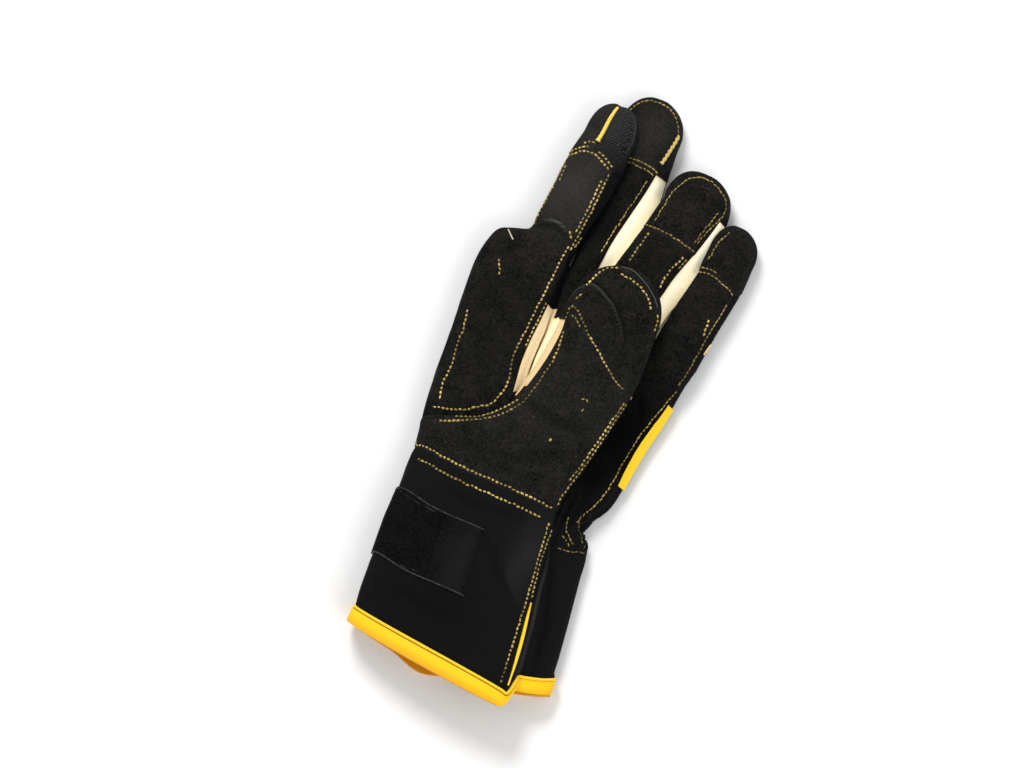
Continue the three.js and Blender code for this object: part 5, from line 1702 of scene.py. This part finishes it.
class Nodes:
    """Adds nodes to a tree, from left to right, and joins them by their sockets."""

    def __init__(self, tree):
        self.tree = tree

    def feed(self, socket, value):
        if isinstance(value, bpy.types.NodeSocket):
            self.tree.links.new(value, socket)
        else:
            socket.default_value = value

    def add(self, kind, inputs=None, **settings):
        node = self.tree.nodes.new(kind)
        node.location = (200 * len(self.tree.nodes), 0)
        for key, value in settings.items():
            setattr(node, key, value)
        for key, value in (inputs or {}).items():
            self.feed(node.inputs[key], value)
        return node

    def math(self, operation, a, b=0.0, clamp=False):
        node = self.add("ShaderNodeMath", {0: a, 1: b}, operation=operation, use_clamp=clamp)
        return node.outputs[0]

    def plus(self, a, b, clamp=False):
        return self.math("ADD", a, b, clamp)

    def minus(self, a, b, clamp=False):
        return self.math("SUBTRACT", a, b, clamp)

    def times(self, a, b, clamp=False):
        return self.math("MULTIPLY", a, b, clamp)

    def ramp(self, value, low, high):
        inputs = {"Value": value, "From Min": low, "From Max": high}
        return self.add("ShaderNodeMapRange", inputs, interpolation_type="SMOOTHSTEP").outputs["Result"]

    def blend(self, factor, a, b):
        node = self.add("ShaderNodeMix", {"Factor": factor}, data_type="RGBA")
        for socket, value in zip(node.inputs[6:8], (a, b)):
            self.feed(socket, (*value, 1) if isinstance(value, tuple) else value)
        return node.outputs[2]

    def kept(self, name):
        """A number kept on the mesh's points."""
        return self.add("ShaderNodeAttribute", attribute_name=name).outputs["Fac"]

    def place(self):
        return self.add("ShaderNodeTexCoord").outputs["Object"]

    def grain(self, name):
        size, detail, roughness = GRAINS[name]
        inputs = {"Vector": self.place(), "Scale": 1000 / size, "Detail": detail, "Roughness": roughness}
        return self.add("ShaderNodeTexNoise", inputs).outputs["Fac"]

    def waves(self, pitch):
        """The place's X, Y and Z, and how far waves of a pitch turn for each metre."""
        split = self.add("ShaderNodeSeparateXYZ", {"Vector": self.place()}).outputs
        return split, self.math("DIVIDE", 2000 * math.pi, pitch)

    def finish(self, **results):
        """Ends a node group with its results."""
        self.add("NodeGroupOutput", results)
        return self.tree


def new_group(name, inputs, outputs):
    """A node group with named number sockets; gives its nodes and its inputs."""
    tree = bpy.data.node_groups.new(name, "ShaderNodeTree")
    for socket, default in inputs.items():
        made = tree.interface.new_socket(name=socket, in_out="INPUT", socket_type="NodeSocketFloat")
        made.default_value = default
    for socket in outputs:
        tree.interface.new_socket(name=socket, in_out="OUTPUT", socket_type="NodeSocketFloat")
    nodes = Nodes(tree)
    return nodes, nodes.add("NodeGroupInput").outputs


def brushed_nap():
    """Short fibres of brushed leather: a mottled tone and a fine height."""
    n, given = new_group("Brushed nap", {"Fibre": 0.55, "Mottle": 4.0}, ["Tone", "Height"])
    fibre, clump = n.grain("fibre"), n.grain("clump")
    fine = n.times(n.minus(fibre, 0.5), given["Fibre"])
    broad = n.times(n.minus(n.grain("mottle"), 0.5), given["Mottle"])
    tone = n.plus(n.plus(fine, broad), n.times(n.minus(clump, 0.5), 0.8))
    height = n.plus(fibre, n.times(clump, 1.2))
    return n.finish(Tone=n.plus(tone, 0.5, clamp=True), Height=height)


def plain_weave():
    """Threads that cross over and under, at a pitch in millimetres."""
    n, given = new_group("Plain weave", {"Pitch": 0.8, "Unevenness": 0.4}, ["Tone", "Height"])
    split, turn = n.waves(given["Pitch"])
    wobble = n.times(n.grain("uneven"), given["Unevenness"])
    lean = n.times(split["Z"], LEAN["weave"])
    warp, weft = (n.plus(n.times(n.plus(split[axis], lean), turn), wobble) for axis in "XY")
    cross = n.times(n.math("SINE", warp), n.math("SINE", weft))
    height = n.plus(n.times(cross, 0.4), n.times(n.grain("fuzz"), 1.2))
    return n.finish(Tone=n.plus(n.times(height, 0.5), 0.2, clamp=True), Height=height)


def knurled_grip():
    """Raised dashes in slanted lines over a coarse grip cloth."""
    n, given = new_group("Knurled grip", {"Pitch": 1.8}, ["Tone", "Height"])
    split, turn = n.waves(given["Pitch"])
    wobble = n.times(n.grain("slip"), GRIP_SLIP)
    sideways = n.plus(split["X"], n.times(split["Z"], LEAN["grip"]))
    one = n.plus(sideways, n.times(split["Y"], GRIP_SLANTS[0]))
    other = n.minus(sideways, n.times(split["Y"], GRIP_SLANTS[1]))
    one, other = (n.math("SINE", n.plus(n.times(way, turn), wobble)) for way in (one, other))
    height = n.ramp(n.times(one, other), -0.1, 0.75)
    return n.finish(Tone=height, Height=height)


def edge_wear_and_sheen():
    """Spots close to a seam or an edge, from the distance kept on the points: worn edges, and on the strap a
    painted sheen.
    """
    n, given = new_group("Edge rubbing and sheen", {"Reach": 1.0, "Breakup": 0.6}, ["Mask"])
    near = n.minus(1.0, n.math("DIVIDE", n.kept("seam_distance"), given["Reach"]), clamp=True)
    patchy = n.ramp(n.grain("patchy"), 0.35, 0.65)
    worn = n.minus(1.0, n.times(given["Breakup"], patchy))
    return n.finish(Mask=n.times(near, worn, clamp=True))


def scuffs():
    """Small brown scuffs and specks, few and far between."""
    n, given = new_group("Scuffs", {"Amount": 0.5}, ["Mask"])
    patch = n.ramp(n.grain("scuffed"), 0.56, 0.7)
    speck = n.ramp(n.grain("specks"), 0.56, 0.72)
    mask = n.times(n.times(patch, speck), given["Amount"])
    return n.finish(Mask=n.plus(mask, 0.0, clamp=True))


def crease_shade():
    """Splits the tone kept on the points into its lighter and darker parts: painted highlights and shade,
    and patches.
    """
    n, given = new_group("Crease shade", {"Strength": 1.0}, ["Rubbed", "Soiled"])
    wear = n.times(n.kept("wear"), given["Strength"])
    rubbed_and_lit = n.math("MAXIMUM", wear, 0.0, clamp=True)
    soiled_and_shaded = n.math("MAXIMUM", n.times(wear, -1.0), 0.0, clamp=True)
    return n.finish(Rubbed=rubbed_and_lit, Soiled=soiled_and_shaded)


def new_material(name, roughness, specular, sheen=0.0):
    """A material kept under its name, with its own shader."""
    material = MATERIALS[name] = bpy.data.materials.new(name)
    material.use_nodes = True
    shader = material.node_tree.nodes["Principled BSDF"].inputs
    shader["Roughness"].default_value = roughness
    shader["Specular IOR Level"].default_value = specular
    shader["Sheen Weight"].default_value = sheen
    return Nodes(material.node_tree), shader


def finish_material(n, shader, colour, height, bump):
    """Joins the colour and the fine height to the shader; bump is in millimetres."""
    inputs = {"Strength": 1, "Distance": bump * MM, "Height": height}
    n.feed(shader["Base Color"], colour)
    n.feed(shader["Normal"], n.add("ShaderNodeBump", inputs).outputs["Normal"])


def shade(colour, factor, add=0.0):
    return tuple(np.array(colour) * factor + add)


def cloth(name, finish, colour, groups):
    """A cloth or leather with its worn edges, scuffs and patches, and the painted shade and highlights of
    its folds, ridges and shadowed places.
    """
    n, shader = new_material(name, *finish["gloss"])
    made = {key: n.add("ShaderNodeGroup", node_tree=groups[key]) for key in finish["groups"]}
    for key, values in finish["groups"].items():
        for socket, value in values.items():
            made[key].inputs[socket].default_value = value
    tone, height = (made[key].outputs for key in finish["ground"])
    final = n.blend(tone["Tone"], *(shade(colour, *s) for s in finish["range"]))
    for key, socket, share, look in finish["layers"]:
        mask = made[key].outputs[socket]
        final = n.blend(mask if share == 1 else n.times(mask, share), final, shade(colour, *look))
    # Painted light: the pale cloth's glow, stronger where its tone is painted lighter
    if name in PAINTED_GLOW:
        dim = n.blend(1 - PAINTED_GLOW_DIM, final, (0, 0, 0))
        n.feed(shader["Emission Color"], n.blend(made["crease"].outputs["Rubbed"], dim, final))
        shader["Emission Strength"].default_value = PAINTED_GLOW[name] / PAINTED_GLOW_DIM
    finish_material(n, shader, final, height["Height"], finish["bump"])


def thread(name, colour):
    n, shader = new_material(name, 0.6, 0.25)
    pale = n.blend(n.kept("thread_tone"), shade(colour, 0.28), shade(colour, 1.5, 0.07))
    finish_material(n, shader, pale, n.grain("strands"), THREAD_BUMP)


def make_materials(colours):
    groups = {
        "nap": brushed_nap(), "weave": plain_weave(), "knurl": knurled_grip(),
        "edge": edge_wear_and_sheen(), "scuffs": scuffs(), "crease": crease_shade(),
    }
    for name, finish in CLOTHS.items():
        cloth(name, FINISHES[finish], tuple(getattr(colours, name)), groups)
    for name in THREADS:
        thread(name, tuple(getattr(colours, name)))
    _, shader = new_material("floor", 0.9, 0.1)
    shader["Base Color"].default_value = (*colours.floor, 1)


# Settings


def length(name, description, millimetres):
    return bpy.props.FloatProperty(
        name=name, description=description, default=millimetres * MM, min=0,
        precision=5, unit="LENGTH", subtype="DISTANCE",
    )


def colour(name, description, value):
    return bpy.props.FloatVectorProperty(
        name=name, description=description, default=value, min=0, max=1, size=3, subtype="COLOR",
    )


class GloveSizes(bpy.types.PropertyGroup):
    """Sizes of the sewing, the trims and the view"""

    stitch_pitch: length("Stitch pitch", "From one stitch to the next", 2.3)
    stitch_length: length("Stitch length", "How long a stitch shows", 1.8)
    thread_width: length("Thread width", "Thickness of the sewing thread", 1.0)
    tape_round: length("Tape rounding", "Rounding of the binding's folded edges", 1.1)
    strap_round: length("Strap rounding", "Rounding of the strap's edges", 0.4)
    piping_width: length("Piping width", "Thickness of the piping on the index fingertip", 2.0)
    side_piping_width: length("Side piping width", "Thickness of the piping down the cuff's side", 2.1)
    floor_size: length("Floor size", "Side of the square floor", 6000)
    view_width: length("View width", "Width that the camera sees", 512)


class GloveColours(bpy.types.PropertyGroup):
    """Colours of the glove's cloths, leathers and threads"""

    suede: colour("Suede", "Brushed leather of the palm and the tips", (0.0086, 0.0081, 0.0072))
    canvas: colour("Canvas", "Cloth of the cuff, the back and the sides", (0.0044, 0.0044, 0.0045))
    mesh: colour("Grip cloth", "Knurled cloth beside the index finger", (0.0075, 0.0075, 0.0078))
    cream: colour("Cream cloth", "Gussets between the fingers", (0.90, 0.845, 0.65))
    peach: colour("Peach cloth", "Gusset along the thumb", (0.84, 0.63, 0.34))
    pale_peach: colour("Pale peach cloth", "Web between the thumb and the palm", (0.97, 0.80, 0.50))
    piping: colour("Piping", "Cord on the index fingertip", (0.80, 0.56, 0.10))
    tape: colour("Tape", "Binding of the cuff's hem", (0.90, 0.53, 0.004))
    trim: colour("Trim", "Tab and piping", (0.93, 0.62, 0.015))
    hem_line: colour("Hem line", "Line sewn along the top of the binding", (0.20, 0.10, 0.005))
    webbing: colour("Webbing", "Wrist strap", (0.0030, 0.0030, 0.0031))
    thread: colour("Thread", "Sewing thread", (0.40, 0.28, 0.05))
    dull_thread: colour("Dull thread", "Thread along the thumb's tip", (0.02, 0.017, 0.01))
    pale_thread: colour("Pale thread", "Thread on the knuckle", (0.42, 0.34, 0.24))
    floor: colour("Floor", "Pale floor", (0.8, 0.8, 0.8))


# Operators


def skins_of(*names):
    for name in names:
        if not any(key[0] == name for key in SKINS):
            raise RuntimeError(f"The {name} is made before its stitches and trims")


def part_of(piece):
    return next((part for part in ("thumb", "cuff") if piece in skin(part, PLAIN).names), "hand")


class GLOVE_OT_materials(bpy.types.Operator):
    """Makes the suede, cloth, tape and thread materials"""

    bl_idname = "glove.materials"
    bl_label = "Materials"

    def execute(self, context):
        make_materials(context.scene.glove_colours)
        return {"FINISHED"}


class GLOVE_OT_hand(bpy.types.Operator):
    """Makes the palm, back, side walls, gussets and fingertip caps"""

    bl_idname = "glove.hand"
    bl_label = "Hand"

    def execute(self, context):
        make_pieces("hand")
        return {"FINISHED"}


class GLOVE_OT_thumb(bpy.types.Operator):
    """Makes the thumb and the heel of the palm in front of it"""

    bl_idname = "glove.thumb"
    bl_label = "Thumb"

    def execute(self, context):
        make_pieces("thumb")
        return {"FINISHED"}


class GLOVE_OT_cuff(bpy.types.Operator):
    """Makes the cuff and the tape that binds its hem"""

    bl_idname = "glove.cuff"
    bl_label = "Cuff and binding"

    def execute(self, context):
        for piece, obj in make_pieces("cuff").items():
            if "binding" in piece:
                round_edges(obj, context.scene.glove_sizes.tape_round / MM)
        return {"FINISHED"}


class GLOVE_OT_trims(bpy.types.Operator):
    """Makes the wrist strap, the side tab, the pipings and the thin cords"""

    bl_idname = "glove.trims"
    bl_label = "Strap and trims"

    def execute(self, context):
        skins_of("hand", "cuff")
        sizes = context.scene.glove_sizes
        for piece in ("wrist_strap", "strap_hook_end"):
            make_trim("cuff", piece, sizes.strap_round / MM)
        make_trim("hand", "side_tab", TAB_ROUND)
        lay_pipings(sizes)
        lay_thin_cords()
        return {"FINISHED"}


class GLOVE_OT_stitches(bpy.types.Operator):
    """Sews the rows of stitches on the hand, the thumb and the cuff"""

    bl_idname = "glove.stitches"
    bl_label = "Stitching"

    def execute(self, context):
        skins_of("hand", "thumb", "cuff")
        sizes = context.scene.glove_sizes
        rows = {"hand": [], "thumb": [], "cuff": []}
        for row in SEAM_ROWS:
            rows[part_of(row["piece"])] += seam_row(row)
        for row in FREE_ROWS:
            rows[part_of(row["pieces"].split()[0])].append(free_row(row))
        for part, lines in rows.items():
            sew(part + "_stitches", lines, sizes)
        return {"FINISHED"}


# Stage


def area_light(name, location, energy, size):
    light = bpy.data.lights.new(name, "AREA")
    light.energy, light.shape, light.size = energy, "DISK", size
    obj = bpy.data.objects.new(name, light)
    obj.location = location
    obj.rotation_mode = "QUATERNION"
    obj.rotation_quaternion = (-Vector(location)).to_track_quat("-Z", "Y")
    bpy.context.scene.collection.objects.link(obj)
    return obj


LIGHTS = table("name location energy size", [
    ["key", (-0.9, 0.9, 1.5), 26, 0.7],
    ["fill", (1.1, -0.6, 1.3), 10, 1.2],
])
SKY_STRENGTH = 0.72
VIEW = {"azimuth": 25, "elevation": 78, "lens": 300, "sensor": 36, "aim": (-21.38, 7.75)}


class GLOVE_OT_stage(bpy.types.Operator):
    """Makes the pale floor, the soft lights and the camera"""

    bl_idname = "glove.stage"
    bl_label = "Floor, lights and camera"

    def execute(self, context):
        sizes = context.scene.glove_sizes
        bpy.ops.mesh.primitive_plane_add(size=sizes.floor_size, location=(0, 0, 0))
        floor = context.object
        floor.name = "floor"
        floor.data.materials.append(MATERIALS["floor"])
        world = bpy.data.worlds.new("studio")
        world.use_nodes = True
        world.node_tree.nodes["Background"].inputs["Color"].default_value = (1, 1, 1, 1)
        world.node_tree.nodes["Background"].inputs["Strength"].default_value = SKY_STRENGTH
        context.scene.world = world
        for light in LIGHTS:
            area_light(**light)
        a, e = math.radians(VIEW["azimuth"]), math.radians(VIEW["elevation"])
        back = Vector((math.sin(a) * math.cos(e), -math.cos(a) * math.cos(e), math.sin(e)))
        right = Vector((math.cos(a), math.sin(a), 0))
        up = back.cross(right)
        camera = bpy.data.cameras.new("camera")
        camera.lens, camera.sensor_width = VIEW["lens"], VIEW["sensor"]
        camera.dof.use_dof = False
        camera.clip_end = 50
        distance = sizes.view_width * camera.lens / camera.sensor_width
        obj = bpy.data.objects.new("camera", camera)
        obj.location = right * (VIEW["aim"][0] * MM) + up * (VIEW["aim"][1] * MM) + back * distance
        obj.rotation_mode = "QUATERNION"
        obj.rotation_quaternion = (-back).to_track_quat("-Z", "Y")
        context.scene.collection.objects.link(obj)
        context.scene.camera = obj
        context.scene.view_settings.view_transform = "Standard"
        return {"FINISHED"}


# Add-on

STEPS = [
    GLOVE_OT_materials, GLOVE_OT_hand, GLOVE_OT_thumb, GLOVE_OT_cuff, GLOVE_OT_trims,
    GLOVE_OT_stitches, GLOVE_OT_stage,
]


class GLOVE_PT_panel(bpy.types.Panel):
    """Lists the steps that build the glove"""

    bl_idname = "GLOVE_PT_panel"
    bl_label = "Work Glove"
    bl_space_type = "VIEW_3D"
    bl_region_type = "UI"
    bl_category = "Work Glove"

    def draw(self, context):
        for step in STEPS:
            self.layout.operator(step.bl_idname)
        for group in (context.scene.glove_sizes, context.scene.glove_colours):
            box = self.layout.box()
            for name in group.__annotations__:
                box.prop(group, name)


CLASSES = [GloveSizes, GloveColours, *STEPS, GLOVE_PT_panel]


def register():
    for cls in CLASSES:
        bpy.utils.register_class(cls)
    bpy.types.Scene.glove_sizes = bpy.props.PointerProperty(type=GloveSizes)
    bpy.types.Scene.glove_colours = bpy.props.PointerProperty(type=GloveColours)


def unregister():
    del bpy.types.Scene.glove_colours
    del bpy.types.Scene.glove_sizes
    for cls in reversed(CLASSES):
        bpy.utils.unregister_class(cls)


def main():
    register()
    bpy.ops.glove.materials()
    bpy.ops.glove.hand()
    bpy.ops.glove.thumb()
    bpy.ops.glove.cuff()
    bpy.ops.glove.trims()
    bpy.ops.glove.stitches()
    bpy.ops.glove.stage()


if __name__ == "__main__":
    main()
